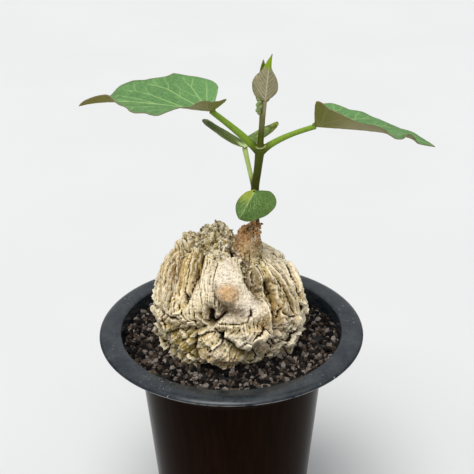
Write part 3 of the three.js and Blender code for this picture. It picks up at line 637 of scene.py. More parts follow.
# Where the cork has a tone of its own, with painted shade in the grey and painted light in one pale patch on
# the foot:
# strength, azimuth, elevation, spread across and up, steepness.
TONES = {
    "pale": (
        (0.9, -3, 55, 11, 20, 3),
        (0.8, 20, 36, 12, 18, 3),
        (0.9, 84, 44, 22, 20, 2),
        (0.7, 6, 0, 13, 8, 3),
        (0.5, 8, 26, 16, 8, 2),
        (1.0, -26, 46, 9, 22, 2),
        # Painted light: this patch lightens the low right side, which overhangs and lies in shade.
        (0.6, 46, -8, 26, 13, 2),
        (0.4, -170, 40, 40, 22, 2),
        (0.6, -36, 33, 6, 16, 2),
    ),
    "olive": (
        (0.75, -50, -9, 24, 13, 2),
        (0.6, -84, 80, 18, 14, 3),
        (0.3, 62, 30, 12, 14, 2),
    ),
    "tan": (
        (1.0, -1.7, 38.3, 8.5, 7.5, 4),
        (0.6, -8, -18, 17, 8, 3),
        (0.5, 25, 12, 7, 9, 2),
        (0.6, 31, -13, 8, 6, 3),
        (0.45, -66, 44, 20, 18, 2),
        (0.45, 45, 14, 4, 18, 2),
        (0.25, 58, 20, 16, 14, 2),
        (0.5, 50, 80, 9, 9, 2),
    ),
    "grey": ((0.9, -5, 28, 13, 5, 2), (0.5, -80, 20, 14, 14, 2), (0.4, -60, 36, 5, 12, 2)),
}


def direction(azimuth, elevation):
    """Unit vectors from angles in degrees."""
    a, e = np.radians(azimuth), np.radians(elevation)
    return np.stack([np.sin(a) * np.cos(e), -np.cos(a) * np.cos(e), np.sin(e) + 0 * a], -1)


def plain_radius(way):
    """Distance from the middle to the plain form."""
    across = np.hypot(way[..., 0] / CAUDEX_HALF[0], way[..., 1] / CAUDEX_HALF[1])
    up = np.abs(way[..., 2]) / np.where(way[..., 2] > 0, CAUDEX_HALF[2], CAUDEX_HALF[3])
    return (across**CAUDEX_ROUNDNESS + up**CAUDEX_ROUNDNESS) ** (-1 / CAUDEX_ROUNDNESS)


def patch(way, azimuth, elevation, across, up, steep):
    """1 at the middle of a patch on the caudex, falling to 0 round it."""
    middle = direction(azimuth, elevation)
    east = direction(azimuth + 90, 0)
    north = np.cross(middle, east)
    u, v = way @ east / math.radians(across), way @ north / math.radians(up)
    return np.where(way @ middle > 0, np.exp(-(np.hypot(u, v) ** steep)), 0)


def to_path(points, angles):
    """Distance from points to a path on the plain form, the side that each lies on and the share passed."""
    path = direction(*np.array(angles, float).T)
    path = path * plain_radius(path)[:, None]
    run = np.concatenate([[0], np.cumsum(np.linalg.norm(np.diff(path, axis=0), axis=1))])
    best = np.full(len(points), np.inf)
    side = np.ones(len(points))
    passed = np.zeros(len(points))
    for k, (start, end) in enumerate(zip(path[:-1], path[1:])):
        along = end - start
        share = np.clip((points - start) @ along / (along @ along), 0, 1)
        arm = points - start - share[:, None] * along
        distance = np.linalg.norm(arm, axis=1)
        nearer = distance < best
        turn = np.sign(np.einsum("ij,ij->i", np.cross(along, arm), points))
        side = np.where(nearer, turn, side)
        passed = np.where(nearer, (run[k] + share * (run[k + 1] - run[k])) / run[-1], passed)
        best = np.where(nearer, distance, best)
    return best, side, passed


def fibre_place(way):
    """The way the bark grows: mm round and mm along fibres that fan out from behind the crown."""
    lean = math.radians(25)
    front = -way[:, 1] * math.cos(lean) + way[:, 2] * math.sin(lean)
    height = way[:, 2] * math.cos(lean) + way[:, 1] * math.sin(lean)
    return np.arctan2(way[:, 0], front), FIBRE_RADIUS * np.arcsin(np.clip(height, -1, 1))


def along_fibres(turn, run, pitch, length, drift):
    """Places for noise that is drawn out along the fibres: pitch across them and length along them, in mm."""
    radius = FIBRE_RADIUS / pitch
    return np.stack([radius * np.sin(turn), radius * np.cos(turn), run / length + drift * 7.3], 1)


def plate_edges(point):
    """Height in mm of the plates' edges and of the falls beyond them."""
    total = np.zeros(len(point))
    for rise, drop, reach, path in EDGES.values():
        distance, side, passed = to_path(point, path)
        fall = 1 - np.exp(-((distance / 0.7) ** 2))
        beyond = rise * (1 - fall) - drop * fall * np.exp(-((distance / reach) ** 2))
        ends = smooth_step(0, 0.15, passed) * smooth_step(1, 0.88, passed)
        total += ends * np.where(side < 0, rise * np.exp(-((distance / 2.0) ** 2)), beyond)
    return total


def creases(point, bent, seed):
    """Height in mm, below 0, of the creases, which wander, widen and fade along their way."""
    ragged = 1 + 0.45 * noise(point / 2.2, seed + 22)
    broken = 0.3 + 0.7 * smooth_step(-0.35, 0.1, noise(point / 3.6, seed + 23))
    total = np.zeros(len(point))
    for half_width, depth, path in CREASES.values():
        distance, _, _ = to_path(bent, path)
        reach = half_width * ragged
        total -= depth * np.maximum(broken, half_width > 0.9) * np.exp(-((distance / reach) ** 1.7))
    return total


def fibre_ribs(point, turn, run, warp, seed):
    """Height in mm of the long ledges in which the bark peels, with cracks between, and each one's tone."""
    near, second, key, arm = plates(along_fibres(turn, run, 4.0, 24, 2) + 0.06 * warp, seed + 2)
    across = arm[:, 0] * np.cos(turn) - arm[:, 1] * np.sin(turn)
    gap = second - near
    ribs = 1.3 * (key[:, 0] - 0.5) + 1.9 * across * (key[:, 1] - 0.4)
    ribs -= 0.6 * key[:, 2] * np.exp(-((gap / 0.09) ** 2))
    ribs += 0.55 * ledges(2.6 * noise(along_fibres(turn, run, 3.4, 40, 3), seed + 3)) + 0.28
    ribs += 0.17 * ledges(3.0 * noise(along_fibres(turn, run, 1.5, 9, 4), seed + 4)) + 0.08
    crests = np.maximum(0, 1 - np.abs(noise(along_fibres(turn, run, 3.0, 36, 7), seed + 27)) / 0.11)
    ribs += 0.7 * crests * smooth_step(-0.3, 0.1, noise(point / 7, seed + 28))
    line = noise(along_fibres(turn, run, 3.6, 16, 5), seed + 14)
    ribs -= 0.8 * np.exp(-((line / 0.06) ** 2)) * smooth_step(0.0, 0.35, noise(point / 5, seed + 15))
    return ribs, key[:, 1]


def broken_plates(point, seed, lift, tilt):
    """Height in mm of small plates, each lifted by its own draw and tilted its own way."""
    _, _, key, arm = plates(point, seed)
    return lift * (key[:, 1] - 0.5) + tilt * np.sum(arm * (key * 2 - 1), axis=1)


def foot_rocks(point, warp, seed):
    """Height in mm of the tilted blocks round the foot, with ledges across them."""
    _, _, key, arm = plates(point / 7.5 + 0.25 * warp, seed + 5)
    tilt = np.sum(arm * (key * 2 - 1), axis=1)
    rock = 1.8 * (key[:, 0] - 0.5) + 3.2 * tilt
    rock += 0.4 * ledges(3.2 * noise(point * (1, 1, 0.8) / 4.2 + 0.2 * warp, seed + 16)) + 0.25
    skew = point @ np.array([[0.8, 0.0, 0.6], [0.0, 1.0, 0.0], [-0.6, 0.0, 0.8]]) / (1.3, 3.0, 7.0)
    rock += 0.3 * ledges(2.8 * noise(skew + 0.1 * warp, seed + 26)) + 0.22
    return rock


def crown_lumps(point, seed):
    """Height in mm of the crown's crumbly lumps, 2 mm wide and in heaps of 7 mm."""
    near, second, key, arm = plates(point / 1.9, seed + 11)
    lumps = 2.5 * (key[:, 0] - 0.45) * smooth_step(0, 0.3, second - near)
    return lumps + np.sum(arm * (key * 2 - 1), axis=1) + 2.1 * layered(point / 3.4, seed + 12)


def shoot_bark(grown, point, fret, seed):
    """Height in mm of the bark fibres that run up round the shoot's foot."""
    around = np.arctan2(grown[:, 1] - SHOOT_FOOT[1], grown[:, 0] - SHOOT_FOOT[0])
    upright = np.stack([3.0 * np.cos(around), 3.0 * np.sin(around), grown[:, 2] / 6], 1)
    fibres = ledges(3.2 * noise(upright + 0.1 * fret, seed + 18))
    return 0.45 * fibres + 0.3 * layered(point / 1.6, seed + 19)


def strokes(table, bent):
    """Strength at each point of the strongest stroke of a table."""
    total = np.zeros(len(bent))
    for strength, half_width, path in table:
        distance, _, _ = to_path(bent, path)
        total = np.maximum(total, strength * np.exp(-((distance / half_width) ** 2)))
    return total


def caudex_surface(way, seed):
    """Points of the caudex in mm for unit vectors, and the masks that its colours follow."""
    elevation = np.degrees(np.arcsin(np.clip(way[:, 2], -1, 1)))
    plain = plain_radius(way)
    point = way * plain[:, None]
    x, y, z = point.T
    warp = np.stack([noise(point / 7 + k * 31, seed + 40 + k) for k in range(3)], 1)
    fret = np.stack([noise(point / 1.8 + k * 17, seed + 50 + k) for k in range(3)], 1)

    swell = sum(h * patch(way, a, e, su, sv, steep) for a, e, su, sv, h, steep in SWELLINGS)
    broad = np.sin(0.21 * x + 1.3) * np.sin(0.24 * y + 0.4) + np.sin(0.19 * z - 0.17 * x + 2.1)
    middling = np.sin(0.52 * x + 0.31 * z) * np.sin(0.47 * y - 0.42 * z + 1.7)
    swell += 0.55 * (broad + 0.9 * middling) * smooth_step(-80, -50, elevation)

    # The pale ridge, the crumbly crown, the broken foot, the ribbed sides and the bark round the shoot.
    ridge = np.maximum.reduce([patch(way, *spot) for spot in RIDGE])
    crown = smooth_step(58, 72, elevation + 5 * noise(point / 6, seed + 30))
    crown = np.clip(crown * (1 - patch(way, -3, 62, 9, 14, 3)), 0, 1)
    crown = np.maximum(crown, patch(way, -88, 62, 14, 10, 3))
    crown *= 1 - 0.75 * patch(way, 94, 62, 32, 14, 4)
    low = smooth_step(13, 3, elevation + 4 * noise(point / 9, seed + 9) - 11 * patch(way, -48, 14, 26, 12, 3))
    ribbed = (1 - 0.9 * ridge) * (1 - low) * (1 - 0.8 * crown)
    shoot = np.maximum(patch(way, 86, 77, 12, 9.5, 3), patch(way, 102, 72, 6, 5, 2))

    turn, run = fibre_place(way)
    turn = turn + 0.018 * noise(point / 9, seed + 1)
    ribs, band = fibre_ribs(point, turn, run, warp, seed)

    rocks = foot_rocks(point, warp, seed)
    chips = broken_plates(point / 2.4 + 0.3 * warp, seed + 6, 0.5, 0.8)
    flecks = broken_plates(point / 1.25 + 0.2 * fret, seed + 7, 0.3, 0.5)
    grain = 0.24 * layered(point / 1.3, seed + 10)
    grain = grain + 0.18 * ribbed * noise(along_fibres(turn, run, 0.9, 5, 6), seed + 25)
    calm = 1 - 0.5 * patch(way, 64, 34, 22, 26, 3) - 0.45 * patch(way, -26, 42, 12, 26, 3)
    detail = plate_edges(point + 0.5 * warp) + creases(point, point + 0.6 * warp + 0.45 * fret, seed)
    detail = detail + ribbed * (ribs * calm + 0.12 * chips) + low * (rocks + 0.2 * chips + 0.14 * flecks)
    detail += crown * (1 - shoot) * crown_lumps(point, seed) + grain + 0.16 * ribbed * flecks
    detail += shoot * shoot_bark(way * (plain + swell)[:, None] + CAUDEX_MIDDLE, point, fret, seed)
    flakes = ledges(2.6 * noise(point / 4.5 + 0.3 * warp, seed + 17))
    detail += ridge * (0.28 * chips + 0.2 * flecks + 0.3 * flakes)
    detail += 0.4 * noise(point / 3.2, seed + 13)
    detail *= smooth_step(-75, -45, elevation)
    surface = way * (plain + swell + detail)[:, None]
    drift = 0.3 * warp * smooth_step(-70, -40, elevation)[:, None]
    surface += drift + 0.14 * fret * (1 - 0.6 * np.maximum(ridge, ribbed))[:, None]

    bent = point + 1.1 * warp + 0.5 * fret
    # Where each tone of the cork lies, and where its crests may be pale. The grey is painted shade, and part
    # of the pale is painted light on the foot.
    tones = {name: sum(share * patch(way, *spot) for share, *spot in spots) for name, spots in TONES.items()}
    # Painted light: the foot, which lies in shade, is made paler.
    tones["pale"] += 0.45 * low * (1 - patch(way, -48, -8, 28, 20, 3))
    tones["olive"] += strokes(ALGAE, bent) + 0.3 * smooth_step(-8, -24, elevation)
    patchy = 0.6 + 0.4 * smooth_step(-0.3, 0.3, noise(point / 2.2, seed + 21) + 0.35)
    tones["rust"] = 1.2 * shoot * patchy * (
        1 - 0.75 * smooth_step(79, 72, elevation + 9 * noise(point / 2.4, seed + 31))
    )
    tones = {name: np.clip(values, 0, 1) for name, values in tones.items()}
    masks = {
        **tones,
        "plain": 1 - np.clip(tones["rust"] + 0.7 * tones["tan"], 0, 1),
        # Strokes of dirt and of painted shade.
        "dirt_and_shade": strokes(DIRT_AND_SHADE, bent),
        "hole": strokes(HOLES, bent),
        "ridge": ridge,
        "crumb": crown,
        "ribbed": ribbed,
        "low": low,
        "band": band,
        "fibres": np.stack([FIBRE_RADIUS * turn, run, 0 * run], 1),
    }
    return surface + CAUDEX_MIDDLE, masks


# The shoot's axes, as in its solids, in mm.

STEM = [(11.1, 2.3, 157.0, 1.9), (11.1, 2.3, 164.0, 1.85), (10.7, 2.1, 174.5, 1.65), (10.8, 2, 182.2, 1.8),
    (11.9, 2, 191.0, 1.75), (12.6, 2, 197.5, 1.95), (12.9, 2, 200.6, 2.2)]
UPPER_STEM = [(12.9, 2, 199.5, 1.9), (13.1, 2, 203.5, 1.4), (13.5, 2, 209.5, 1.25), (13.8, 2, 214.0, 1.3),
    (13.9, 1.9, 216.4, 1.25)]
# The node from which the two upper stalks grow.
UPPER_NODE = (12.9, 2, 201.6)
# From the stem's axis by one bend to the blade's joint, with the radii along the way.
STALKS = {
    "left": ((12.8, 2, 199.0), (6.5, 1.8, 206.8), (-7.5, 0, 218.8), (1.95, 1.66, 1.56, 1.35, 1.22)),
    "right": ((12.8, 2, 199.0), (19.5, 1.9, 206.0), (36.1, 0, 211.5), (1.95, 1.5, 1.3, 1.15, 1.15)),
    "back": ((10.8, 2, 180.6), (8.6, 7.4, 188.2), (6.5, 12, 197.6), (1.5, 1.05, 1.05, 1.1, 1.2)),
    "front": ((10.7, 2, 182.2), (10.6, -0.4, 182.3), (10.3, -2.6, 182.7), (1.2, 1.0, 0.8, 0.7, 0.6)),
    "tip_front": ((14.1, 1.6, 214.6), (14.9, 1.1, 219.0), (15.1, 0.5, 223.8), (1.0, 0.8, 0.72, 0.68, 0.7)),
    "tip_back": ((13.5, 2.4, 214.6), (13.5, 3.6, 218.2), (14.1, 4, 221.9), (1.0, 0.75, 0.62, 0.58, 0.58)),
}

# Leaves, as in their solids: a midrib curve, an outline in polar form round the stalk's joint, and the fold
# of each half along the midrib.
NARROW_HALF = [(0, 1), (4, 0.86), (8, 0.7), (14, 0.56), (24, 0.42), (38, 0.31), (55, 0.24), (75, 0.19),
    (100, 0.15), (130, 0.09), (180, 0.05)]
CUPPED = [(-0.3, 20), (0, 22), (0.5, 26), (1, 45)]
# Veins of one half: a width, then corners in shares of the midrib's length, along it and away from it.
BROAD_VEINS = [
    (0.9, (0.01, 0), (0.034, 0.095), (0.041, 0.18), (0.041, 0.24), (0.055, 0.33)),
    (1.0, (0.02, 0), (0.056, 0.069), (0.107, 0.146), (0.167, 0.248), (0.157, 0.34)),
    (0.6, (0.167, 0.248), (0.217, 0.296), (0.24, 0.35)),
    (1.0, (0.06, 0), (0.142, 0.062), (0.242, 0.117), (0.337, 0.183), (0.418, 0.212), (0.5, 0.235)),
    (0.6, (0.337, 0.183), (0.342, 0.237), (0.373, 0.289), (0.38, 0.33)),
    (0.6, (0.418, 0.212), (0.45, 0.26), (0.46, 0.29)),
    (0.9, (0.19, 0), (0.267, 0.024), (0.353, 0.055), (0.468, 0.102), (0.578, 0.135), (0.66, 0.138)),
    (0.6, (0.578, 0.135), (0.59, 0.17), (0.598, 0.225)),
    (0.5, (0.468, 0.102), (0.5, 0.15), (0.515, 0.2)),
    (0.7, (0.4, 0), (0.52, 0.03), (0.64, 0.06), (0.75, 0.09)),
    (0.5, (0.6, 0), (0.72, 0.025), (0.83, 0.05)),
    (0.6, (0.01, 0), (0, 0.08), (-0.03, 0.16), (-0.04, 0.25)),
    (0.5, (0.107, 0.146), (0.15, 0.15), (0.2, 0.18), (0.25, 0.21), (0.3, 0.26)),
    (0.4, (0.242, 0.117), (0.25, 0.16), (0.25, 0.21)),
]
CHEVRON_VEINS = [
    (1.1, (start, 0), (start + 0.09, 0.1), (start + 0.21, 0.2), (start + 0.36, 0.3))
    for start in (-0.02, 0.07, 0.16, 0.26, 0.36, 0.47, 0.58)
]
LEAVES = {
    "left": {
        "grid": (260, 80), "up": (0, 0, 1), "side": (0, 1, 0),
        "midrib": [(-7.5, 0, 218.8), (-22, 0, 220.0), (-45, 0, 226.3), (-61.8, 0, 221.5)],
        "plus": [(0, 1), (2, 0.95), (5, 0.89), (9, 0.82), (13, 0.77), (17, 0.735), (21, 0.704), (24, 0.679),
            (26, 0.645), (28, 0.6), (33, 0.556), (38, 0.523), (45, 0.497), (50, 0.495), (53, 0.476),
            (58, 0.442), (68, 0.406), (80, 0.363), (90, 0.34), (95, 0.315), (100, 0.275), (103, 0.14),
            (108, 0.06), (180, 0.03)],
        "minus": [(0, 1), (2, 0.965), (4, 0.9), (6, 0.81), (8, 0.72), (11, 0.66), (16, 0.64), (21, 0.636),
            (26, 0.615), (29, 0.565), (33, 0.55), (38, 0.548), (43, 0.54), (48, 0.49), (54, 0.45), (60, 0.37),
            (67, 0.31), (80, 0.264), (90, 0.2), (105, 0.19), (110, 0.21), (116, 0.235), (119, 0.22),
            (121, 0.1), (128, 0.05), (180, 0.03)],
        "fold_plus": [(-0.3, 24), (0, 22), (0.3, 21), (0.6, 16), (0.7, 13), (0.78, -4), (1, -10)],
        "fold_minus": [(-0.3, 50), (-0.12, 48), (-0.05, 44), (0, 40), (0.045, 36), (0.12, 30), (0.157, 24),
            (0.24, 20), (0.4, 8), (0.62, 3), (0.68, 6), (0.72, 22), (0.77, 55), (0.84, 60), (1, 58)],
        "veins": BROAD_VEINS, "wave": 0.12, "waves": 15,
    },
    "right": {
        "grid": (260, 80), "up": (0, 0, 1), "side": (0, 1, 0),
        "midrib": [(36.1, 0, 211.5), (52, 0, 209.9), (70, 0, 209.8), (86.5, 0, 201.7)],
        "plus": [(0, 1), (2, 0.95), (5, 0.88), (10, 0.817), (15, 0.761), (21, 0.689), (26, 0.619), (32, 0.56),
            (39, 0.529), (48, 0.469), (57, 0.428), (70, 0.37), (77, 0.334), (86, 0.31), (89, 0.25),
            (92, 0.12), (100, 0.05), (180, 0.03)],
        "minus": [(0, 1), (2, 0.95), (5, 0.89), (8, 0.83), (12, 0.78), (18, 0.7), (27, 0.61), (37, 0.54),
            (45, 0.48), (52, 0.43), (66, 0.375), (80, 0.345), (90, 0.335), (96, 0.33), (99, 0.315),
            (101, 0.2), (104, 0.08), (120, 0.04), (180, 0.03)],
        "fold_plus": [(-0.3, 18), (0, 17), (0.08, 15), (0.13, 13.5), (0.23, 9.5), (0.31, 6), (0.41, 5),
            (0.55, 1.5), (0.72, -4), (0.85, 6), (1, 4)],
        "fold_minus": [(-0.3, 60), (-0.05, 58), (0, 54), (0.05, 47), (0.1, 43), (0.15, 39), (0.25, 32),
            (0.33, 29), (0.42, 27.5), (0.5, 24), (0.56, 17), (0.62, 12), (0.67, 14), (0.71, 27), (0.77, 22),
            (0.82, 6), (1, 3)],
        "veins": BROAD_VEINS, "wave": 0.1, "waves": 13,
    },
    "back": {
        "grid": (180, 56), "up": (0, 0, 1), "side": (1, 0, 0),
        "midrib": [(6.5, 12, 197.6), (5.9, 21, 197.0), (5.1, 32, 193.8), (4.5, 41, 188.0)],
        "plus": [(0, 1), (6, 0.92), (14, 0.82), (26, 0.72), (42, 0.66), (58, 0.65), (72, 0.6), (84, 0.5),
            (96, 0.37), (110, 0.26), (124, 0.16), (140, 0.08), (180, 0.05)],
        "minus": [(0, 1), (6, 0.92), (14, 0.84), (26, 0.76), (42, 0.7), (58, 0.7), (74, 0.7), (86, 0.66),
            (98, 0.52), (110, 0.4), (124, 0.24), (140, 0.1), (180, 0.05)],
        "fold_plus": [(-0.3, 29), (0.5, 29), (1, 20)], "fold_minus": [(-0.3, 32), (0.5, 32), (1, 20)],
        "veins": BROAD_VEINS, "wave": 0.15, "waves": 9,
    },
    "front": {
        "grid": (180, 56), "up": (0, -1, 0.6), "side": (0.84, 0.1, -0.52),
        "midrib": [(10.3, -2.6, 182.7), (8.3, -6.3, 180.5), (5.7, -9.0, 176.8), (3.7, -9.5, 173.6)],
        "plus": [(0, 1), (10, 1), (24, 0.95), (39, 0.86), (55, 0.84), (73, 0.82), (90, 0.82), (106, 0.79),
            (118, 0.71), (130, 0.57), (136, 0.38), (150, 0.14), (180, 0.09)],
        "minus": [(0, 1), (8, 0.94), (16, 0.86), (26, 0.75), (40, 0.58), (60, 0.4), (80, 0.28), (100, 0.2),
            (120, 0.15), (150, 0.11), (180, 0.09)],
        "fold_plus": [(-0.3, 4), (0.5, 4), (1, 2)],
        "fold_minus": [(-0.3, -55), (0, -52), (0.5, -46), (1, -30)],
        "veins": BROAD_VEINS, "wave": 0.1, "waves": 7,
    },
    "tip_front": {
        "grid": (130, 44), "up": (0, 1, 0.1), "side": (1, 0, 0.1),
        "midrib": [(15.1, 0.5, 223.8), (15.6, -1.0, 229.4), (16.0, -0.3, 236.9), (17.8, 1.5, 242.5)],
        "plus": [(0, 1), (2, 0.84), (4.5, 0.7), (16, 0.57), (38, 0.42), (52, 0.345), (74, 0.23), (108, 0.1),
            (140, 0.06), (180, 0.05)],
        "minus": [(0, 1), (4, 0.87), (8, 0.76), (16, 0.62), (28, 0.565), (44, 0.48), (60, 0.375), (80, 0.28),
            (99, 0.21), (130, 0.1), (180, 0.05)],
        "fold_plus": CUPPED, "fold_minus": CUPPED, "veins": CHEVRON_VEINS, "wave": 0.08, "waves": 7,
    },
    "tip_back": {
        "grid": (110, 36), "up": (0, -1, 0.1), "side": (1, 0, 0),
        "midrib": [(14.1, 4.0, 221.9), (14.2, 6.6, 226.9), (14.3, 7.0, 233.7), (14.3, 6.0, 238.8)],
        "plus": NARROW_HALF, "minus": NARROW_HALF,
        "fold_plus": CUPPED, "fold_minus": CUPPED, "veins": CHEVRON_VEINS, "wave": 0.05, "waves": 5,
    },
}


class Blade:
    """The middle surface of a leaf: along is measured on the midrib and across from it, in mm."""

    def __init__(self, form):
        self.form = form
        self.side, self.up = np.array(form["side"], float), np.array(form["up"], float)
        t = np.linspace(0, 1, 401)[:, None]
        a, b, c, d = np.array(form["midrib"], float)
        self.line = a * (1 - t) ** 3 + 3 * b * t * (1 - t) ** 2 + 3 * c * t * t * (1 - t) + d * t**3
        self.heading = 3 * (b - a) * (1 - t) ** 2 + 6 * (c - b) * t * (1 - t) + 3 * (d - c) * t * t
        self.heading /= np.linalg.norm(self.heading, axis=1, keepdims=True)
        steps = np.linalg.norm(np.diff(self.line, axis=0), axis=1)
        self.arc = np.concatenate([[0], np.cumsum(steps)])
        self.length = self.arc[-1]

    def reach(self, angle):
        """Distance from the joint to the outline at an angle in radians."""
        turn = np.degrees(np.abs(angle))
        plus, minus = curve_through(self.form["plus"], turn), curve_through(self.form["minus"], turn)
        return self.length * np.where(angle >= 0, plus, minus)

    def surface(self, along, across):
        """Points in mm."""
        at = np.clip(along, 0, self.length)
        line = np.stack([np.interp(at, self.arc, self.line[:, k]) for k in range(3)], 1)
        heading = np.stack([np.interp(at, self.arc, self.heading[:, k]) for k in range(3)], 1)
        heading /= np.linalg.norm(heading, axis=1, keepdims=True)
        line += np.minimum(along, 0)[:, None] * heading
        side = self.side - (heading @ self.side)[:, None] * heading
        side /= np.linalg.norm(side, axis=1, keepdims=True)
        up = np.cross(heading, side)
        up *= np.sign(up @ self.up)[:, None]
        station = along / self.length
        plus, minus = (curve_through(self.form[key], station) for key in ("fold_plus", "fold_minus"))
        fold = np.radians(np.where(across >= 0, plus, minus))
        return line + side * (across * np.cos(fold))[:, None] + up * (np.abs(across) * np.sin(fold))[:, None]

    def normals(self, along, across):
        """Unit normals on the upper side."""
        step = 0.3
        ahead = self.surface(along + step, across) - self.surface(along - step, across)
        aside = self.surface(along, across + step) - self.surface(along, across - step)
        normal = np.cross(ahead, aside)
        normal /= np.linalg.norm(normal, axis=1, keepdims=True)
        return normal * np.sign(np.mean(normal @ self.up))

    def veins(self, along, across):
        """Strength of the veins, 1 on a vein's middle line and 0 away from it."""
        grown = 0.5 + 0.0175 * self.length
        taper = 0.35 + 0.65 * np.clip(1 - along / self.length, 0, 1)
        strength = np.exp(-((across / (0.34 * grown * taper)) ** 2)) * (along > -0.5)
        for width, *corners in self.form["veins"]:
            line = np.array(corners) * self.length
            for sign in (1, -1):
                path = line * (1, sign)
                for k, (start, end) in enumerate(zip(path[:-1], path[1:])):
                    step = end - start
                    arm = np.stack([along, across], 1) - start
                    share = np.clip(arm @ step / (step @ step), 0, 1)
                    distance = np.linalg.norm(arm - share[:, None] * step, axis=1)
                    fade = width * (1 - 0.5 * (k + share) / len(path))
                    line_width = 0.19 * grown * (0.5 + 0.5 * fade)
                    strength = np.maximum(strength, fade**0.5 * np.exp(-((distance / line_width) ** 2)))
        return np.clip(strength, 0, 1)


# Modelling.

# The camera that looks at the plant as the photograph does: place in mm and turns in degrees.
CAMERA_PLACE = (0, -428.346, 379.686)
CAMERA_TURN, CAMERA_DIP, CAMERA_ROLL = -0.385, 27.138, -0.44
CAMERA_LENS = 83.54
SUN_HEADING = (0.14, 0.32, -1.0)


def make_stage(settings):
    """Floor, lights and camera."""
    alone()
    bpy.ops.mesh.primitive_plane_add(size=settings.floor_size)
    floor = added("floor")
    # Plain painted board: an even pale tone with a trace of unevenness.
    board = mottled("matte painted board", tuple(settings.floor_colour), 6.0, 0.97, 0.85, 3.0)
    floor.data.materials.append(board)

    world = bpy.data.worlds.new("soft studio")
    world.use_nodes = True
    tree = world.node_tree
    background = tree.nodes["Background"]
    background.inputs["Color"].default_value = (0.93, 0.96, 1.0, 1)
    # Somewhat brighter overhead than at the horizon, as under a soft ceiling light.
    way = node(tree, "SeparateXYZ", {0: node(tree, "TexCoord").outputs["Generated"]}).outputs["Z"]
    limits = {"From Min": -0.1, "From Max": 1.0, "To Min": 0.75 * settings.sky, "To Max": 1.5 * settings.sky}
    tree.links.new(node(tree, "MapRange", {"Value": way, **limits}).outputs[0], background.inputs["Strength"])
    bpy.context.scene.world = world
    bpy.ops.object.light_add(type="SUN", location=(-0.5, -0.5, 1.2))
    key = bpy.context.object
    key.name = "key"
    key.data.energy, key.data.angle = settings.key, settings.key_width
    key.rotation_euler = Vector(SUN_HEADING).to_track_quat("-Z", "Y").to_euler()

    bpy.ops.object.camera_add()
    camera = bpy.context.object
    camera.name = "camera"
    camera.data.sensor_width, camera.data.lens = 36, CAMERA_LENS
    camera.data.clip_start, camera.data.clip_end = 0.02, 50
    place = Matrix.Translation(Vector(CAMERA_PLACE) * MM)
    for angle, axis in ((CAMERA_TURN, "Z"), (90 - CAMERA_DIP, "X"), (CAMERA_ROLL, "Z")):
        place = place @ Matrix.Rotation(math.radians(angle), 4, axis)
    camera.matrix_world = place
    bpy.context.scene.camera = camera
    bpy.context.scene.view_settings.view_transform = "Standard"


def rounded(corners, steps=5):
    """A profile line whose corners are rounded: each corner is (radius, height, rounding) in mm."""
    line = []
    last = len(corners) - 1
    for k, (radius, height, rounding) in enumerate(corners):
        here = np.array([radius, height], float)
        if k in (0, last) or rounding == 0:
            line.append(here)
            continue
        before = np.array(corners[k - 1][:2], float) - here
        after = np.array(corners[k + 1][:2], float) - here
        start = here + before * min(0.48, rounding / np.linalg.norm(before))
        end = here + after * min(0.48, rounding / np.linalg.norm(after))
        for t in np.linspace(0, 1, steps):
            line.append(start * (1 - t) ** 2 + 2 * here * t * (1 - t) + end * t * t)
    return line


POT_PROFILE = [
    (0.3, 0.6, 0), (29.5, 0.6, 0.5), (30.2, 0, 0.4), (32.6, 0, 0.4), (33.4, 1.0, 0.6), (42.2, 100, 2.5),
    (52, 106, 1.5), (52, 113.2, 0.5), (58.4, 113.0, 0.3), (59.0, 112.8, 0.3), (59.85, 112.8, 0.2),
    (60, 113.2, 0.3), (59.5, 113.8, 0.8), (57.8, 114.6, 1.8), (54.8, 115, 2.4), (50.9, 114.8, 0.5),
    (50, 114.1, 0.5), (49.2, 106, 1.5), (40.7, 99.4, 1.5), (32.1, 2.2, 1.2), (0.3, 2.0, 0),
]


# Drain holes: how many, their radius and the radius of the ring that they lie on, in mm.
DRAINS, DRAIN_RADIUS, DRAIN_RING = 8, 3.2, 21
# Above this height in metres the pot has the rim's satin finish; its inner wall starts at the second.
RIM_FOOT, INNER_FOOT = 0.109, 0.003


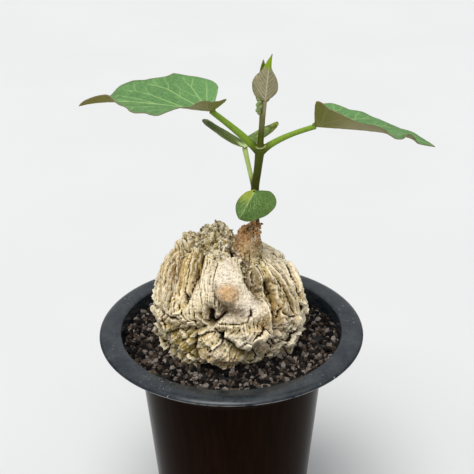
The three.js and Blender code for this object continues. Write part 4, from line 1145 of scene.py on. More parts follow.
def make_pot(settings):
    """The pot: one line spun round, with its drain holes cut."""
    alone()
    line = rounded(POT_PROFILE)
    bpy.ops.mesh.primitive_plane_add(size=1 * MM)
    pot = added("pot_moulded")
    bpy.ops.object.mode_set(mode="EDIT")
    bpy.ops.mesh.select_all(action="SELECT")
    bpy.ops.mesh.merge(type="CENTER")
    start = line[0] * MM
    bpy.ops.transform.translate(value=(start[0], 0, start[1]))
    for before, after in zip(line[:-1], line[1:]):
        step = (after - before) * MM
        bpy.ops.mesh.extrude_region_move(TRANSFORM_OT_translate={"value": (step[0], 0, step[1])})
    bpy.ops.mesh.select_all(action="SELECT")
    bpy.ops.mesh.spin(steps=settings.segments, angle=math.tau, center=(0, 0, 0), axis=(0, 0, 1))
    bpy.ops.mesh.select_all(action="SELECT")
    weld(0.02 * MM)
    bpy.ops.mesh.select_all(action="DESELECT")
    bpy.ops.mesh.select_non_manifold()
    bpy.ops.mesh.edge_face_add()
    bpy.ops.mesh.select_all(action="SELECT")
    bpy.ops.mesh.normals_make_consistent(inside=False)
    bpy.ops.object.mode_set(mode="OBJECT")

    cutters = []
    for k in range(DRAINS):
        angle = k / DRAINS * math.tau
        place = (DRAIN_RING * MM * math.cos(angle), DRAIN_RING * MM * math.sin(angle), 1.5 * MM)
        alone()
        bpy.ops.mesh.primitive_cylinder_add(
            vertices=32, radius=DRAIN_RADIUS * MM, depth=6 * MM, location=place
        )
        cutters.append(added(f"drain_cutter_{k}"))
    cutter = joined(cutters)
    apply_modifier(pot, "BOOLEAN", operation="DIFFERENCE", object=cutter, solver="EXACT")
    bpy.data.objects.remove(cutter)
    dress(pot, "pot", ["pot"], body_material(settings), rim_material(settings), angle=30)
    # The rim with its collar is the satin part, and so is the inner wall.
    for polygon in pot.data.polygons:
        middle = polygon.center
        facing_in = middle.x * polygon.normal.x + middle.y * polygon.normal.y < -1e-4
        polygon.material_index = int(middle.z > RIM_FOOT or (middle.z > INNER_FOOT and facing_in))


def body_material(settings):
    """Moulded polypropylene, glossy: deep brown-black, with faint upright flow lines from the mould."""
    material, tree = new_material("glossy moulded polypropylene")
    at = node(tree, "TexCoord").outputs["Object"]
    # Flow lines about 1.5 mm wide that run the height of the wall.
    drawn_out = node(tree, "Mapping", {0: at, "Scale": (1.0, 1.0, 0.04)})
    lines = node(tree, "TexNoise", {"Vector": drawn_out, "Scale": 500.0, "Detail": 3.0})
    body = tuple(settings.body_colour)
    tint = node(tree, "ValToRGB", {0: lines}, stops=((0.35, dimmed(body, 0.6)), (0.65, body)))
    limits = {"From Min": 0.3, "From Max": 0.7, "To Min": 0.14, "To Max": 0.24}
    rough = node(tree, "MapRange", {"Value": lines, **limits})
    bump = node(tree, "Bump", {"Strength": 0.06, "Distance": 0.0002, "Height": lines})
    return finished(material, {"Base Color": tint, "Roughness": rough, "IOR": 1.07, "Normal": bump})


def rim_material(settings):
    """Moulded polypropylene, satin: blue-black, with dust in its fine grain and scuffs on its outer edge."""
    material, tree = new_material("satin moulded polypropylene")
    at = node(tree, "TexCoord").outputs["Object"]
    # Real dust specks are 0.1 to 0.3 mm, too fine to show here, so they are drawn at 0.4 to 0.8 mm. Then come
    # haze in blotches of 8 mm, thicker patches of 20 mm, scuffs of 1 to 2 mm and the plastic's own grain.
    specks, haze, patches, marks, grain = (
        node(tree, "TexNoise", {"Vector": at, "Scale": scale, "Detail": detail, "Roughness": rough})
        for scale, detail, rough in (
            (900.0, 1.0, 0.5),
            (120.0, 7.0, 0.75),
            (45.0, 2.0, 0.5),
            (330.0, 3.0, 0.7),
            (1600.0, 2.0, 0.5),
        )
    )
    speck, film, patchy, scuffs = (
        node(tree, "ValToRGB", {0: source}, stops=stops)
        for source, *stops in (
            (specks, (0.69, 0.0), (0.74, 1.0)),
            (haze, (0.4, 0.0), (0.72, 0.14)),
            (patches, (0.45, 0.1), (0.65, 0.9)),
            (marks, (0.66, 0.0), (0.7, 0.9)),
        )
    )
    parts = node(tree, "SeparateXYZ", {0: at})
    flat = node(tree, "CombineXYZ", {0: parts.outputs["X"], 1: parts.outputs["Y"]})
    radius = node(tree, "VectorMath", {0: flat}, operation="LENGTH")
    # Scuffs lie only on the outer edge. Its lowest half millimetre is painted pale in most places, and
    # handling has left the outermost half millimetre dull.
    keys = ("Value", "From Min", "From Max", "To Min", "To Max")
    outer, lowest, gaps, polish = (
        node(tree, "MapRange", dict(zip(keys, values)))
        for values in (
            (radius, 0.0588, 0.0594, 0.0, 1.0),
            (parts.outputs["Z"], 0.11335, 0.1131, 0.0, 1.0),
            (haze, 0.42, 0.56, 0.0, 0.6),
            (radius, 0.0588, 0.0595, 0.55, 0.12),
        )
    )
    scuffed = node(tree, "Math", {0: scuffs, 1: outer}, operation="MULTIPLY")
    pale_low_edge = node(tree, "Math", {0: lowest, 1: outer}, operation="MULTIPLY")
    broken_pale_edge = node(tree, "Math", {0: pale_low_edge, 1: gaps}, operation="MULTIPLY")
    pale = speck
    for operation, other in (
        ("MULTIPLY", patchy),
        ("MAXIMUM", film),
        ("MULTIPLY", 0.6),
        ("MAXIMUM", broken_pale_edge),
        ("MAXIMUM", scuffed),
    ):
        pale = node(tree, "Math", {0: pale, 1: other}, operation=operation)
    rough = node(tree, "Math", {0: film, 1: 0.15}, operation="ADD")
    bump = node(tree, "Bump", {"Strength": 0.25, "Distance": 0.0001, "Height": grain})
    inputs = {
        "Base Color": coats(tree, settings.rim_colour, (settings.dust_colour, 1.0, pale)),
        "Roughness": rough,
        "IOR": 1.5,
        "Specular IOR Level": polish,
        "Normal": bump,
    }
    return finished(material, inputs)


def surface_tree(piece):
    """A tree for finding where rays meet a piece."""
    points = [vertex.co.copy() for vertex in piece.data.vertices]
    faces = [polygon.vertices[:] for polygon in piece.data.polygons]
    return BVHTree.FromPolygons(points, faces)


def grain_shapes(seed, count):
    """A few angular grains about one unit wide: an icosphere with its corners pulled about."""
    shapes = []
    random = np.random.default_rng(seed)
    for _ in range(count):
        alone()
        bpy.ops.mesh.primitive_ico_sphere_add(subdivisions=1, radius=0.5)
        shape = added("grain")
        points = places(shape)
        points *= 1 + random.uniform(-0.22, 0.22, (len(points), 1))
        points *= random.uniform(0.7, 1.15, 3)
        for _ in range(5):
            way = random.normal(size=3)
            way /= np.linalg.norm(way)
            height = points @ way
            points -= np.maximum(height - random.uniform(0.3, 0.46), 0)[:, None] * way
        faces = np.array([polygon.vertices[:] for polygon in shape.data.polygons])
        shapes.append((points, faces))
        bpy.data.objects.remove(shape)
    return shapes


def spread(name, shapes, spots, sizes, normals, random, flatness=0.0):
    """Copies shapes to many spots, each turned its own way, as one piece with a shade for each copy."""
    points, faces, shades, total = [], [], [], 0
    for k, (spot, width) in enumerate(zip(spots, sizes)):
        shape, triangles = shapes[int(random.integers(len(shapes)))]
        spin = random.normal(size=4)
        w, x, y, z = spin / np.linalg.norm(spin)
        turn = np.array(
            [
                [1 - 2 * (y * y + z * z), 2 * (x * y - z * w), 2 * (x * z + y * w)],
                [2 * (x * y + z * w), 1 - 2 * (x * x + z * z), 2 * (y * z - x * w)],
                [2 * (x * z - y * w), 2 * (y * z + x * w), 1 - 2 * (x * x + y * y)],
            ]
        )
        stretch = width * (1 + flatness * random.uniform(-1, 1, 3))
        points.append((shape * stretch) @ turn.T + spot + normals[k] * width * 0.18)
        faces.append(triangles + total)
        shades.append(np.full(len(shape), random.random()))
        total += len(shape)
    piece = mesh_piece(name, np.concatenate(points), np.concatenate(faces))
    mark(piece, "shade", np.concatenate(shades))
    return piece


# The grit's room inside the pot's wall, and between which heights a grain's middle may lie, in metres.
GRIT_WALL = 49.0 * MM
GRIT_LOW, GRIT_HIGH = 0.1, 0.1115


def make_grit(settings, caudex):
    """Lava grit over the soil, in loose layers that meet the caudex and the pot's wall."""
    random = np.random.default_rng(settings.seed)
    bed = frame["nodes"]["soil"]
    soil, body = surface_tree(bed), surface_tree(caudex)
    spots, sizes = [], []
    while len(spots) < settings.grains:
        angle = random.uniform(0, math.tau)
        radius = GRIT_WALL * math.sqrt(random.uniform(0.3, 1.0))
        width = settings.small + (settings.large - settings.small) * random.beta(1.5, 2.6)
        if radius + width * 0.45 > GRIT_WALL + 0.5 * MM:
            continue
        x, y = radius * math.cos(angle), radius * math.sin(angle)
        hit = soil.ray_cast(Vector((x, y, 0.2)), Vector((0, 0, -1)))
        if hit[0] is None:
            continue
        height = hit[0].z + random.uniform(-0.9, 0.5) * MM
        if height < GRIT_LOW or height > GRIT_HIGH:
            continue
        spot = Vector((x, y, height))
        near, normal, _, _ = body.find_nearest(spot)
        if (spot - near).dot(normal) < -0.1 * width:
            continue
        spots.append(np.array(spot))
        sizes.append(width)
    up = np.tile([0.0, 0.0, 1.0], (len(spots), 1))
    grit = spread("grit", grain_shapes(settings.seed + 1, 14), spots, sizes, up, random)
    dress(grit, "grit", [], grit_material(settings), angle=25)
    bed.data.materials.clear()
    bed.data.materials.append(grit_bed_material(settings))


def grit_material(settings):
    """Crushed lava: dark porous grains, each with its own shade."""
    material, tree = new_material("crushed lava grit")
    at = node(tree, "TexCoord").outputs["Object"]
    shade = node(tree, "Attribute", attribute_name="shade").outputs["Fac"]
    dark = settings.dark_colour
    stops = (0.0, dark), (0.4, dimmed(dark, 2.0)), (0.75, settings.brown_colour), (1.0, settings.light_colour)
    tone = node(tree, "ValToRGB", {0: shade}, stops=stops)
    # Pores of 0.2 to 0.4 mm.
    pores = node(tree, "TexNoise", {"Vector": at, "Scale": 1800.0, "Detail": 3.0})
    darker = node(tree, "ValToRGB", {0: pores}, stops=((0.36, 0.3), (0.6, 1.0)))
    porous = coats(tree, tone, (darker, 0.8), blend="MULTIPLY")
    bump = node(tree, "Bump", {"Strength": 0.5, "Distance": 0.0002, "Height": pores})
    return finished(material, {"Base Color": porous, "Roughness": 0.8, "IOR": 1.2, "Normal": bump})


def grit_bed_material(settings):
    """Fine lava dust and small grains under the loose layer: darker than the grains, without any shine."""
    material, tree = new_material("fine lava bed")
    at = node(tree, "TexCoord").outputs["Object"]
    # Grains of 1.6 mm.
    cells = node(tree, "TexVoronoi", {"Vector": at, "Scale": 620.0})
    dark = settings.dark_colour
    tone = node(tree, "ValToRGB", {0: cells.outputs["Color"]}, stops=((0.2, dimmed(dark, 0.6)), (0.8, dark)))
    bump = node(tree, "Bump", {"Strength": 0.8, "Distance": 0.0006, "Height": cells}, invert=True)
    return finished(material, {"Base Color": tone, "Roughness": 0.95, "Normal": bump})


def make_caudex(settings):
    """The caudex: a finely cut cube, swollen to the caudex's form with ribs, cracks and broken cork."""
    alone()
    bpy.ops.mesh.primitive_cube_add(size=2)
    caudex = added("caudex_cork")
    half = settings.fineness // 2
    in_edit(
        caudex,
        lambda: bpy.ops.mesh.subdivide(number_cuts=half - 1),
        lambda: bpy.ops.mesh.subdivide(number_cuts=1),
    )
    cube = np.tan(places(caudex) * math.pi / 4)
    way = cube / np.linalg.norm(cube, axis=1, keepdims=True)
    # More of the faces go where the caudex is seen: up and to the front.
    way += np.array([0, -0.2, 0.34])
    way /= np.linalg.norm(way, axis=1, keepdims=True)
    surface, masks = caudex_surface(way, settings.seed)
    move_to(caudex, surface * MM)
    # How far each spot lies below its surroundings, close by and more widely: the cork's painted shade
    # follows these depths.
    masks["crack"] = hollows(caudex, 4) / 0.16
    masks["hollow"] = hollows(caudex, 36) / 0.75 - 0.7 * patch(way, 96, 66, 18, 12, 3)
    # Less painted shade in the hollows of the foot, so that the foot, which lies in shade, comes out lighter.
    masks["hollow"] -= 0.8 * smooth_step(12, 0, np.degrees(np.arcsin(way[:, 2])))
    for name, values in masks.items():
        mark(caudex, name, values)
    dress(caudex, "cork", ["caudex"], cork_material(settings), angle=50)
    return caudex


# Where crumbs lie on the crown: azimuth, elevation and reach in degrees, and how many of them there are.
CRUMB_HOMES = (
    (-84, 84, 11, 1.0),
    (-84, 70, 7, 0.5),
    (-60, 76, 7, 0.5),
    (88, 70, 6, 0.25),
    (40, 86, 8, 0.35),
    (104, 70, 7, 0.3),
    (40, 68, 8, 0.25),
    (150, 76, 16, 0.5),
    (-120, 70, 8, 0.3),
)
# A pit in the crown stays free of them: azimuth, elevation and reach in degrees.
CROWN_PIT = (13, 78.5, 5)


def make_crumbs(settings, caudex):
    """Loose crumbs and flakes of cork on the crown and round the shoot."""
    random = np.random.default_rng(settings.seed + 3)
    body = surface_tree(caudex)
    middle = Vector(CAUDEX_MIDDLE * MM)
    spots, sizes, normals = [], [], []
    weights = np.array([home[3] for home in CRUMB_HOMES]) / sum(home[3] for home in CRUMB_HOMES)
    while len(spots) < settings.crumbs:
        azimuth, elevation, reach, _ = CRUMB_HOMES[int(random.choice(len(CRUMB_HOMES), p=weights))]
        home, east = direction(azimuth, elevation), direction(azimuth + 90, 0)
        offset = random.normal(size=2) * reach * 0.6
        way = home + east * math.radians(offset[0])
        way += np.cross(home, east) * math.radians(offset[1])
        way = Vector(way).normalized()
        place, normal, _, _ = body.ray_cast(middle + way * 0.08, -way)
        pit = math.degrees(math.acos(min(1, way.dot(Vector(direction(*CROWN_PIT[:2]))))))
        if place is None or pit < CROWN_PIT[2]:
            continue
        spots.append(np.array(place))
        normals.append(np.array(normal))
        sizes.append((0.5 + 1.7 * random.random() ** 2) * MM)
    crumbs = spread("crown_crumbs", grain_shapes(settings.seed + 4, 12), spots, sizes, normals, random, 0.5)
    points = places(crumbs) / MM - CAUDEX_MIDDLE
    way = points / np.linalg.norm(points, axis=1, keepdims=True)
    mark(crumbs, "rust", np.clip(1.2 * patch(way, 87, 77, 11, 8.5, 4), 0, 1))
    for name, share in (("olive", 0.5), ("crumb", 1), ("loose", 1)):
        mark(crumbs, name, np.full(len(points), share))
    dress(crumbs, "cork", [], bpy.data.materials["weathered cork bark"], angle=25)


def cork_material(settings):
    """Weathered cork bark: dry and matte, its crests pale, partly worn and partly a painted highlight,
    painted shade in its cracks and hollows, with stains and specks of dirt.
    """
    material, tree = new_material("weathered cork bark")
    at = node(tree, "TexCoord").outputs["Object"]
    fibres = node(tree, "Attribute", attribute_name="fibres").outputs["Vector"]
    ribbed, band, draw = (
        node(tree, "Attribute", attribute_name=name).outputs["Fac"] for name in ("ribbed", "band", "shade")
    )
    # Stains of 12 mm, blotches of 3 to 6 mm, mottling of about 1 mm and specks of about 0.5 mm, then strips
    # of bark 2 mm wide and 25 mm long, and threads about 0.5 mm wide and 6 mm long.
    strip = node(tree, "Mapping", {0: fibres, "Scale": (1.0, 0.08, 1.0)})
    thread = node(tree, "Mapping", {0: fibres, "Scale": (1.0, 0.09, 1.0)})
    stain, blotch, mottle, speckle, strips, threads = (
        node(tree, "TexNoise", {"Vector": place, "Scale": scale, "Detail": detail, "Roughness": rough})
        for place, scale, detail, rough in (
            (at, 85.0, 3.0, 0.5),
            (at, 300.0, 6.0, 0.7),
            (at, 1000.0, 4.0, 0.7),
            (at, 2300.0, 2.0, 0.6),
            (strip, 0.5, 3.0, 0.6),
            (thread, 1.5, 4.0, 0.65),
        )
    )
    # The crown's own lumps are about 1.4 mm wide.
    lumps = node(tree, "TexVoronoi", {"Vector": at, "Scale": 720.0}).outputs["Color"]
    streaky = node(tree, "Math", {0: ribbed, 1: 0.55}, operation="MULTIPLY")
    grown = node(tree, "Mix", {0: streaky, 2: blotch, 3: strips})

    # Each plate of bark, each loose crumb and each lump has weathered to its own tone.
    tan, cream, pale = settings.tan_colour, settings.cream_colour, settings.pale_colour
    base, plate_tone, crumb_tone, lump_tone = (
        node(tree, "ValToRGB", {0: source}, stops=stops)
        for source, *stops in (
            (grown, (0.36, tan), (0.44, "#ccb27a"), (0.52, cream), (0.62, pale)),
            (band, (0.05, "#a4836a"), (0.3, "#dcc68c"), (0.5, "#b9a262"), (0.72, "#e6d29c"), (0.95, pale)),
            (draw, (0.1, "#3a2e1b"), (0.28, "#a08a40"), (0.5, "#e2cf98"), (0.7, pale)),
            (lumps, (0.28, "#3c3019"), (0.4, "#a38d48"), (0.52, "#dcc890"), (0.68, pale)),
        )
    )
    rusty = coats(tree, settings.rust_colour, ("#e2b682", 1.0, (mottle, 0.4, 0.6)))
    limits = {"From Min": 0.32, "From Max": 0.54, "To Min": 0.35}
    light = node(tree, "MapRange", {"Value": mottle, **limits}, interpolation_type="SMOOTHSTEP")
    # Painted shade: the crack colour darkens narrow cracks and deep hollows, and the brown darkens wider
    # hollows; the brown is also dirt in specks and threads.
    crack, dirt_and_shade_tone = settings.crack_shade_colour, "#74592f"
    shade = coats(
        tree,
        base,
        (plate_tone, 0.5, ribbed),
        ("#bfa252", 0.5, (stain, 0.5, 0.62)),
        ("#a48562", 0.45, (stain, 0.46, 0.36)),
        (pale, 0.75, "pale"),
        ("#f5ece2", 0.4, "ridge"),
        ("#d8bca4", 0.55, "ridge", (blotch, 0.5, 0.62)),
        # Painted shade: grey under the knob and in bands on the left side.
        ("#a99c8c", 0.7, "grey"),
        (settings.olive_colour, 0.95, "olive", (blotch, 0.36, 0.58)),
        (tan, 0.8, "tan"),
        (crumb_tone, 0.85, "loose"),
        (lump_tone, 0.65, "crumb"),
        (rusty, 1.0, "rust"),
        (dirt_and_shade_tone, 0.7, ribbed, (threads, 0.47, 0.36)),
    )
    # Mottled darkening, weaker on the foot: painted light that lightens the foot, which lies in shade.
    shade = coats(tree, shade, (light, 1.0, ("low", 0.0, 1.0, 0.85, 0.4)), blend="MULTIPLY")
    # Dirt lies in specks, and strokes of dirt and painted shade lie in the recesses; painted shade darkens
    # all that is hollow, the cracks and, darkest, the holes. Crests are painted pale: partly worn cork,
    # partly painted highlight.
    shade = coats(
        tree,
        shade,
        (dirt_and_shade_tone, 1.0, (speckle, 0.42, 0.34), ("ridge", 0.0, 1.0, 0.45, 0.12)),
        ("#5d4726", 0.8, "dirt_and_shade", (blotch, 0.34, 0.5, 0.55, 1.0)),
        (dirt_and_shade_tone, 0.85, ("hollow", 0.2, 1.5)),
        (crack, 0.9, ("hollow", 1.2, 2.8)),
        (crack, 1.0, ("crack", 0.4, 1.2), ("ridge", 0.0, 1.0, 1.0, 0.45)),
        (pale, 1.0, "plain", ("crack", -0.3, -1.1, 0.0, 0.8)),
        ("#564318", 0.65, "dirt_and_shade", (mottle, 0.62, 0.4, 0.6, 1.0)),
        ("#1f1710", 1.0, ("hole", 0.35, 0.8)),
    )
    threaded = node(tree, "Math", {0: ribbed, 1: 0.6}, operation="MULTIPLY")
    relief = node(tree, "Mix", {0: threaded, 2: mottle, 3: threads})
    bump = node(tree, "Bump", {"Strength": 0.9, "Distance": 0.0009, "Height": relief})
    inputs = {"Base Color": shade, "Roughness": 0.85, "IOR": 1.4, "Specular IOR Level": 0.1, "Normal": bump}
    return finished(material, inputs)


def tube(name, line, radii):
    """A round tube along points in mm, as a curve made into a mesh."""
    alone()
    bpy.ops.curve.primitive_nurbs_path_add()
    path = bpy.context.object
    path.name = name
    data = path.data
    data.splines.clear()
    spline = data.splines.new("POLY")
    spline.points.add(len(line) - 1)
    for point, place, radius in zip(spline.points, line, radii):
        point.co = (*(np.array(place) * MM), 1)
        point.radius = radius
    data.dimensions, data.bevel_depth, data.bevel_resolution, data.use_fill_caps = "3D", 1 * MM, 6, True
    bpy.ops.object.convert(target="MESH")
    return bpy.context.object


def along_bend(points, count):
    """Places on a curve from the first point to the last, by the bend between them."""
    a, b, c = (np.array(p, float) for p in points)
    t = np.linspace(0, 1, count)[:, None]
    return a * (1 - t) ** 2 + 2 * b * t * (1 - t) + c * t * t


def through(stations, count):
    """Places and radii on a smooth line through stations of x, y, z and radius."""
    table = np.array(stations, float)
    steps = np.linalg.norm(np.diff(table[:, :3], axis=0), axis=1)
    arc = np.concatenate([[0], np.cumsum(steps)])
    at = np.linspace(0, arc[-1], count)
    columns = [curve_through(np.stack([arc, table[:, k]], 1), at) for k in range(4)]
    return np.stack(columns[:3], 1), columns[3]


def make_shoot(settings):
    """The stem and all the leaf stalks as one grown form: tubes fused by a remesh, then eased."""
    tubes = [tube("stem_tube", *through(STEM, 40)), tube("upper_stem_tube", *through(UPPER_STEM, 24))]
    for name, (start, bend, end, radii) in STALKS.items():
        line = along_bend((start, bend, end), 28)
        stations = np.stack([np.linspace(0, 1, len(radii)), radii], 1)
        tubes.append(tube("stalk_" + name, line, curve_through(stations, np.linspace(0, 1, len(line)))))
    # The pale ridge that joins the two upper stalks across the front of the node.
    x, y, z = UPPER_NODE
    arc = np.linspace(-1, 1, 15)
    ridge = np.stack([x + 2.3 * arc, y - 1.95 * np.sqrt(1 - 0.75 * arc**2), z + 1.0 * arc**2], 1)
    tubes.append(tube("node_ridge", ridge, 0.27 - 0.08 * arc**2))
    shoot = joined(tubes)
    shoot.name = shoot.data.name = "shoot_grown"
    apply_modifier(shoot, "REMESH", mode="VOXEL", voxel_size=settings.voxel)
    apply_modifier(shoot, "SMOOTH", factor=0.6, iterations=6)
    points = places(shoot) / MM
    height = points[:, 2]
    to_ridge = np.min(np.linalg.norm(points[:, None] - ridge[None], axis=2), axis=1)
    # How fresh the green is: the stalks are fresh, the stem darkens towards its foot.
    aside = np.hypot(points[:, 0] - x, points[:, 1] - y)
    fresh = 0.14 * smooth_step(185, 200, height)
    fresh += 0.86 * smooth_step(196, 204, height) * smooth_step(1.6, 6, aside)
    behind = smooth_step(3.2, 6, points[:, 1])
    young = 0.35 * smooth_step(207, 213, height) + 0.65 * smooth_step(215, 219, height)
    mark(shoot, "ridge", np.clip(1.2 - to_ridge / 0.4, 0, 1))
    mark(shoot, "fresh", np.clip(fresh + behind, 0, 1))
    mark(shoot, "behind", behind * smooth_step(211, 206, height))
    mark(shoot, "young", young * (np.abs(points[:, 0] - 14) < 4))
    mark(shoot, "foot", np.interp(height, (166, 176), (0.6, 0)))
    dress(shoot, "stem", ["stem", *("petiole_" + name for name in STALKS)], shoot_material(settings))


def shoot_material(settings):
    """Living stem skin: waxy and softly glossy, dark olive low down and fresh green on the stalks."""
    material, tree = new_material("green stem skin")
    at = node(tree, "TexCoord").outputs["Object"]
    # Fine streaks along the stem, about 0.4 mm wide and 4 mm long.
    stretched = node(tree, "Mapping", {0: at, "Scale": (1.0, 1.0, 0.15)})
    streaks = node(tree, "TexNoise", {"Vector": stretched, "Scale": 2200.0, "Detail": 3.0})
    light = node(tree, "ValToRGB", {0: streaks}, stops=((0.3, 0.72), (0.65, 1.0)))
    green = coats(tree, settings.stem_colour, (settings.stalk_colour, 1.0, "fresh"))
    green = coats(tree, green, (light, 1.0), blend="MULTIPLY")
    shade = coats(
        tree,
        green,
        ("#5a4a2e", 1.0, "foot"),
        ("#a39573", 0.8, "young"),
        ("#b4c777", 1.0, "behind"),
        ("#b9bd84", 0.7, "ridge"),
    )
    bump = node(tree, "Bump", {"Strength": 0.3, "Distance": 0.0002, "Height": streaks})
    inputs = {"Base Color": shade, "Roughness": 0.4, "IOR": 1.42, "Specular IOR Level": 0.12, "Normal": bump}
    return finished(material, inputs)


def make_leaf(name, settings, materials):
    """A blade: a grid wrapped round the stalk's joint to the leaf's outline, raised between its veins."""
    form = LEAVES[name]
    blade = Blade(form)
    rays, rings = form["grid"]
    young = name.startswith("tip")
    alone()
    bpy.ops.mesh.primitive_grid_add(x_subdivisions=rays, y_subdivisions=rings, size=2)
    leaf = added("leaf_" + name + "_blade")
    grid = places(leaf)
    turn, ring = grid[:, 0], (grid[:, 1] + 1) / 2
    angle = np.sign(turn) * math.pi * np.abs(turn) ** 1.35
    radius = ring * blade.reach(angle)
    along, across = radius * np.cos(angle), radius * np.sin(angle)
    none = 0 * along
    vein = blade.veins(along, across)
    wave = form["wave"] * np.sin(form["waves"] * math.pi * turn + 1) * smooth_step(0.55, 1, ring)
    wave += 0.4 * form["wave"] * noise(np.stack([along / 7, across / 7, none + 3], 1), 3) * ring
    relief = wave - 0.12 * vein + 0.1 * noise(np.stack([along / 2.2, across / 2.2, none], 1), 8)
    points = blade.surface(along, across) + blade.normals(along, across) * relief[:, None]
    move_to(leaf, points * MM)

    # Where the skin is pale, yellow or deep green, near its stalk, at its far end and at its edge.
    station = along / blade.length
    end = ((0.62, 0.74), (0, 1)) if young else ((0.66, 0.76), (0, 0.75))
    masks = {
        "vein": vein,
        "edge": 0.8 * smooth_step(0.98, 1.0, ring),
        "near_stalk": np.interp(station, (0, 0.3), (0.85, 0)),
        "end": np.interp(station, *end),
        "yellow": none,
        "deep": none,
        "pale": none,
        "blade_place": np.stack([along, across, none], 1),
    }
    if name == "front":
        masks["yellow"] = smooth_step(0.6, 0.15, station) * (across < 0)
        masks["deep"] = 0.6 + none
    if name == "back":
        # On the back leaf the yellow streaks on one half are painted light shining through the blade, and the
        # deep green, darkest on the other half, is painted shade.
        streaked = smooth_step(-0.05, 0.2, noise(np.stack([along / 6, across / 1.6, none + 9], 1), 4))
        masks["yellow"] = 0.65 * streaked * (across > 0)
        masks["deep"] = np.maximum(0.75 + 0.25 * (across < 0), smooth_step(0.6, 0.8, ring))
        near = smooth_step(0.16, 0.06, radius / blade.length)
        masks["pale"] = np.maximum(near, 0.3 * smooth_step(0.88, 0.95, ring) * (across < 0))
    for key, values in masks.items():
        mark(leaf, key, values)

    in_edit(leaf, weld)
    normal = np.zeros(len(leaf.data.polygons) * 3)
    leaf.data.polygons.foreach_get("normal", normal)
    if np.mean(normal.reshape(-1, 3) @ blade.up) < 0:
        in_edit(leaf, bpy.ops.mesh.flip_normals)
    for material in materials:
        leaf.data.materials.append(material)
    wall = {"thickness": settings.thickness, "offset": 0, "use_rim": True}
    apply_modifier(leaf, "SOLIDIFY", **wall, material_offset=1, material_offset_rim=2)
    dress(leaf, "young_leaf" if young else "leaf", ["leaf_" + name])


def leaf_skin(name, settings, ground, vein, strength, near_stalk, *end):
    """Leaf skin with its veins and net: a soft satin surface, paler along the veins."""
    material, tree = new_material(name)
    at = node(tree, "TexCoord").outputs["Object"]
    place = node(tree, "Attribute", attribute_name="blade_place").outputs["Vector"]
    veins, deep = (node(tree, "Attribute", attribute_name=key).outputs["Fac"] for key in ("vein", "deep"))
    # A faint net of fine veins: meshes of 2 mm with smaller ones of 0.9 mm between.
    wobble = node(tree, "TexNoise", {"Vector": place, "Scale": 0.6, "Detail": 2.0}).outputs["Color"]
    moved = node(tree, "VectorMath", {0: place, 1: wobble}, operation="ADD")
    wide, close = (
        node(tree, "TexVoronoi", {"Vector": moved, "Scale": scale}, feature="DISTANCE_TO_EDGE")
        for scale in (0.5, 1.1)
    )
    for cells, *stops in ((wide, (0.0, 0.24), (0.09, 0.0)), (close, (0.0, 0.1), (0.14, 0.0))):
        line = node(tree, "ValToRGB", {0: cells}, stops=stops)
        veins = node(tree, "Math", {0: veins, 1: line}, operation="MAXIMUM")
    # Soft mottling of about 5 mm and of about 1 mm.
    shade = ground
    for scale, low, dark in ((170.0, 0.35, 0.74), (900.0, 0.3, 0.78)):
        spots = node(tree, "TexNoise", {"Vector": at, "Scale": scale, "Detail": 3.0, "Roughness": 0.6})
        light = node(tree, "ValToRGB", {0: spots}, stops=((low, dark), (0.65, 1.0)))
        shade = coats(tree, shade, (light, 1.0), blend="MULTIPLY")
    shade = coats(
        tree,
        shade,
        (near_stalk, 1.0, "near_stalk"),
        # On the back leaf the deep green is painted shade and the yellow is painted light shining through.
        ("#465318", 1.0, "deep"),
        ("#86902a", 1.0, "yellow"),
        ("#aebb86", 1.0, "pale"),
        (vein, strength, veins),
        *((tint, 1.0, "end") for tint in end),
        (settings.margin_colour, 1.0, "edge"),
    )
    bump = node(tree, "Bump", {"Strength": 0.25, "Distance": 0.0003, "Height": wide})
    # The darker skin is duller.
    gloss = node(tree, "MapRange", {"Value": deep, "To Min": 0.25, "To Max": 0.03})
    inputs = {"Base Color": shade, "Roughness": 0.5, "IOR": 1.4, "Specular IOR Level": gloss, "Normal": bump}
    return finished(material, inputs)


def make_leaves(settings):
    """All the blades, each with an upper side, an underside and a thin brown margin."""
    green, under, taupe = settings.upper_colour, settings.under_colour, settings.young_colour
    veins, tips = settings.vein_colour, settings.tip_colour
    margin = mottled("leaf margin", tuple(settings.margin_colour), 700.0, 0.7, 0.6)
    grown = (
        leaf_skin("leaf upper side", settings, green, veins, 0.75, green),
        # The far end of the underside is a darker olive.
        leaf_skin("leaf underside", settings, under, "#a59b6c", 0.5, "#6f7630", "#7a7836"),
        margin,
    )
    young = (
        leaf_skin("young leaf upper side", settings, "#6f8f45", veins, 0.5, "#6f8f45", tips),
        leaf_skin("young leaf underside", settings, taupe, "#c6bda0", 0.75, taupe, tips),
        margin,
    )
    for name in LEAVES:
        make_leaf(name, settings, young if name.startswith("tip") else grown)


# Lumps of the bud: place and radius in mm.
BUD_LUMPS = (
    (12.4, 0.7, 217.4, 0.75), (11.8, 0.7, 218.6, 0.95), (12.7, 0.5, 219.8, 0.9), (11.9, 0.8, 220.9, 0.9),
    (12.6, 0.7, 222.0, 0.9), (12.0, 0.9, 223.2, 0.75), (13.2, 1.0, 220.6, 0.8),
)


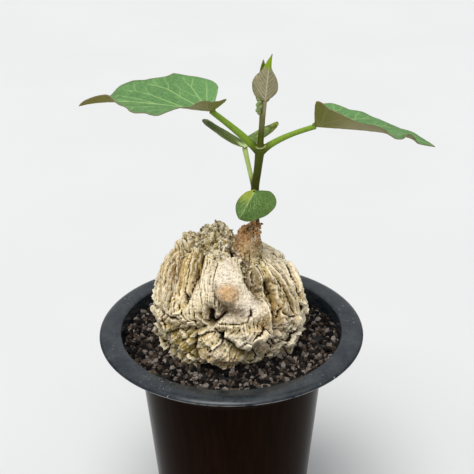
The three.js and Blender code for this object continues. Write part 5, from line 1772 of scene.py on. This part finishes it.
def make_buds():
    """The bud by the upper node and the dry bract low on the stem: their solids, rounded and roughened."""
    for name, node_name, material in (
        ("bud_green", "bud", mottled("green bud skin", linear("#869a58"), 1500.0, 0.6, 0.6)),
        ("bract_dry", "bract", mottled("dry brown bract", linear("#33262a"), 1500.0, 0.6, 0.85)),
    ):
        solid = frame["nodes"][node_name]
        piece = solid.copy()
        piece.data = solid.data.copy()
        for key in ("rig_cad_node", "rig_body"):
            if key in piece:
                del piece[key]
        piece.name = piece.data.name = name
        bpy.context.scene.collection.objects.link(piece)
        piece.parent = None
        in_edit(piece, lambda: weld(0.002 * MM))
        apply_modifier(piece, "SUBSURF", levels=2, render_levels=2)
        if node_name == "bud":
            lumps = [piece]
            for *place, radius in BUD_LUMPS:
                alone()
                place = [value * MM for value in place]
                bpy.ops.mesh.primitive_ico_sphere_add(subdivisions=3, radius=radius * MM, location=place)
                lumps.append(added("lump"))
            joined(lumps)
            apply_modifier(piece, "REMESH", mode="VOXEL", voxel_size=0.13 * MM)
            apply_modifier(piece, "SMOOTH", factor=0.5, iterations=3)
        points = places(piece) / MM
        points += 0.12 * noise(points / 0.7, 5)[:, None] * (points - points.mean(0)) / 1.2
        move_to(piece, points * MM)
        piece.data.materials.clear()
        dress(piece, node_name, [node_name], material)


# Operators, panel and registration.


class PLANT_OT_stage(bpy.types.Operator):
    """Add the floor, the lights and the camera"""

    bl_idname = "plant.stage"
    bl_label = "Stage"

    def execute(self, context):
        make_stage(context.scene.plant_stage)
        return {"FINISHED"}


class PLANT_OT_pot(bpy.types.Operator):
    """Build the moulded pot"""

    bl_idname = "plant.pot"
    bl_label = "Pot"

    def execute(self, context):
        make_pot(context.scene.plant_pot)
        return {"FINISHED"}


class PLANT_OT_caudex(bpy.types.Operator):
    """Build the corky caudex and the crumbs on its crown"""

    bl_idname = "plant.caudex"
    bl_label = "Caudex"

    def execute(self, context):
        settings = context.scene.plant_caudex
        make_crumbs(settings, make_caudex(settings))
        return {"FINISHED"}


class PLANT_OT_grit(bpy.types.Operator):
    """Spread the grit round the caudex"""

    bl_idname = "plant.grit"
    bl_label = "Grit"

    def execute(self, context):
        make_grit(context.scene.plant_grit, bpy.data.objects["caudex_cork"])
        return {"FINISHED"}


class PLANT_OT_shoot(bpy.types.Operator):
    """Grow the stem and the leaf stalks"""

    bl_idname = "plant.shoot"
    bl_label = "Shoot"

    def execute(self, context):
        make_shoot(context.scene.plant_shoot)
        return {"FINISHED"}


class PLANT_OT_leaves(bpy.types.Operator):
    """Build the leaves, the bud and the bract"""

    bl_idname = "plant.leaves"
    bl_label = "Leaves"

    def execute(self, context):
        make_leaves(context.scene.plant_leaves)
        make_buds()
        return {"FINISHED"}


SETTINGS = {
    "plant_stage": StageSettings,
    "plant_pot": PotSettings,
    "plant_caudex": CaudexSettings,
    "plant_grit": GritSettings,
    "plant_shoot": ShootSettings,
    "plant_leaves": LeafSettings,
}
OPERATORS = (PLANT_OT_stage, PLANT_OT_pot, PLANT_OT_caudex, PLANT_OT_grit, PLANT_OT_shoot, PLANT_OT_leaves)


class PLANT_PT_panel(bpy.types.Panel):
    """Lists the plant's pieces and their settings"""

    bl_idname = "PLANT_PT_panel"
    bl_label = "Caudex plant"
    bl_space_type = "VIEW_3D"
    bl_region_type = "UI"
    bl_category = "Caudex plant"

    def draw(self, context):
        for operator, (name, group) in zip(OPERATORS, SETTINGS.items()):
            box = self.layout.box()
            box.operator(operator.bl_idname)
            for key in group.__annotations__:
                box.prop(getattr(context.scene, name), key)


def register():
    """Registers the settings, operators and panel."""
    for name, group in SETTINGS.items():
        bpy.utils.register_class(group)
        setattr(bpy.types.Scene, name, PointerProperty(type=group))
    for operator in (*OPERATORS, PLANT_PT_panel):
        bpy.utils.register_class(operator)


def unregister():
    """Removes what register added."""
    for operator in (PLANT_PT_panel, *OPERATORS):
        bpy.utils.unregister_class(operator)
    for name, group in SETTINGS.items():
        delattr(bpy.types.Scene, name)
        bpy.utils.unregister_class(group)


def main():
    """Builds everything in order."""
    register()
    for step in ("stage", "pot", "caudex", "grit", "shoot", "leaves"):
        getattr(bpy.ops.plant, step)()


if __name__ == "__main__":
    main()
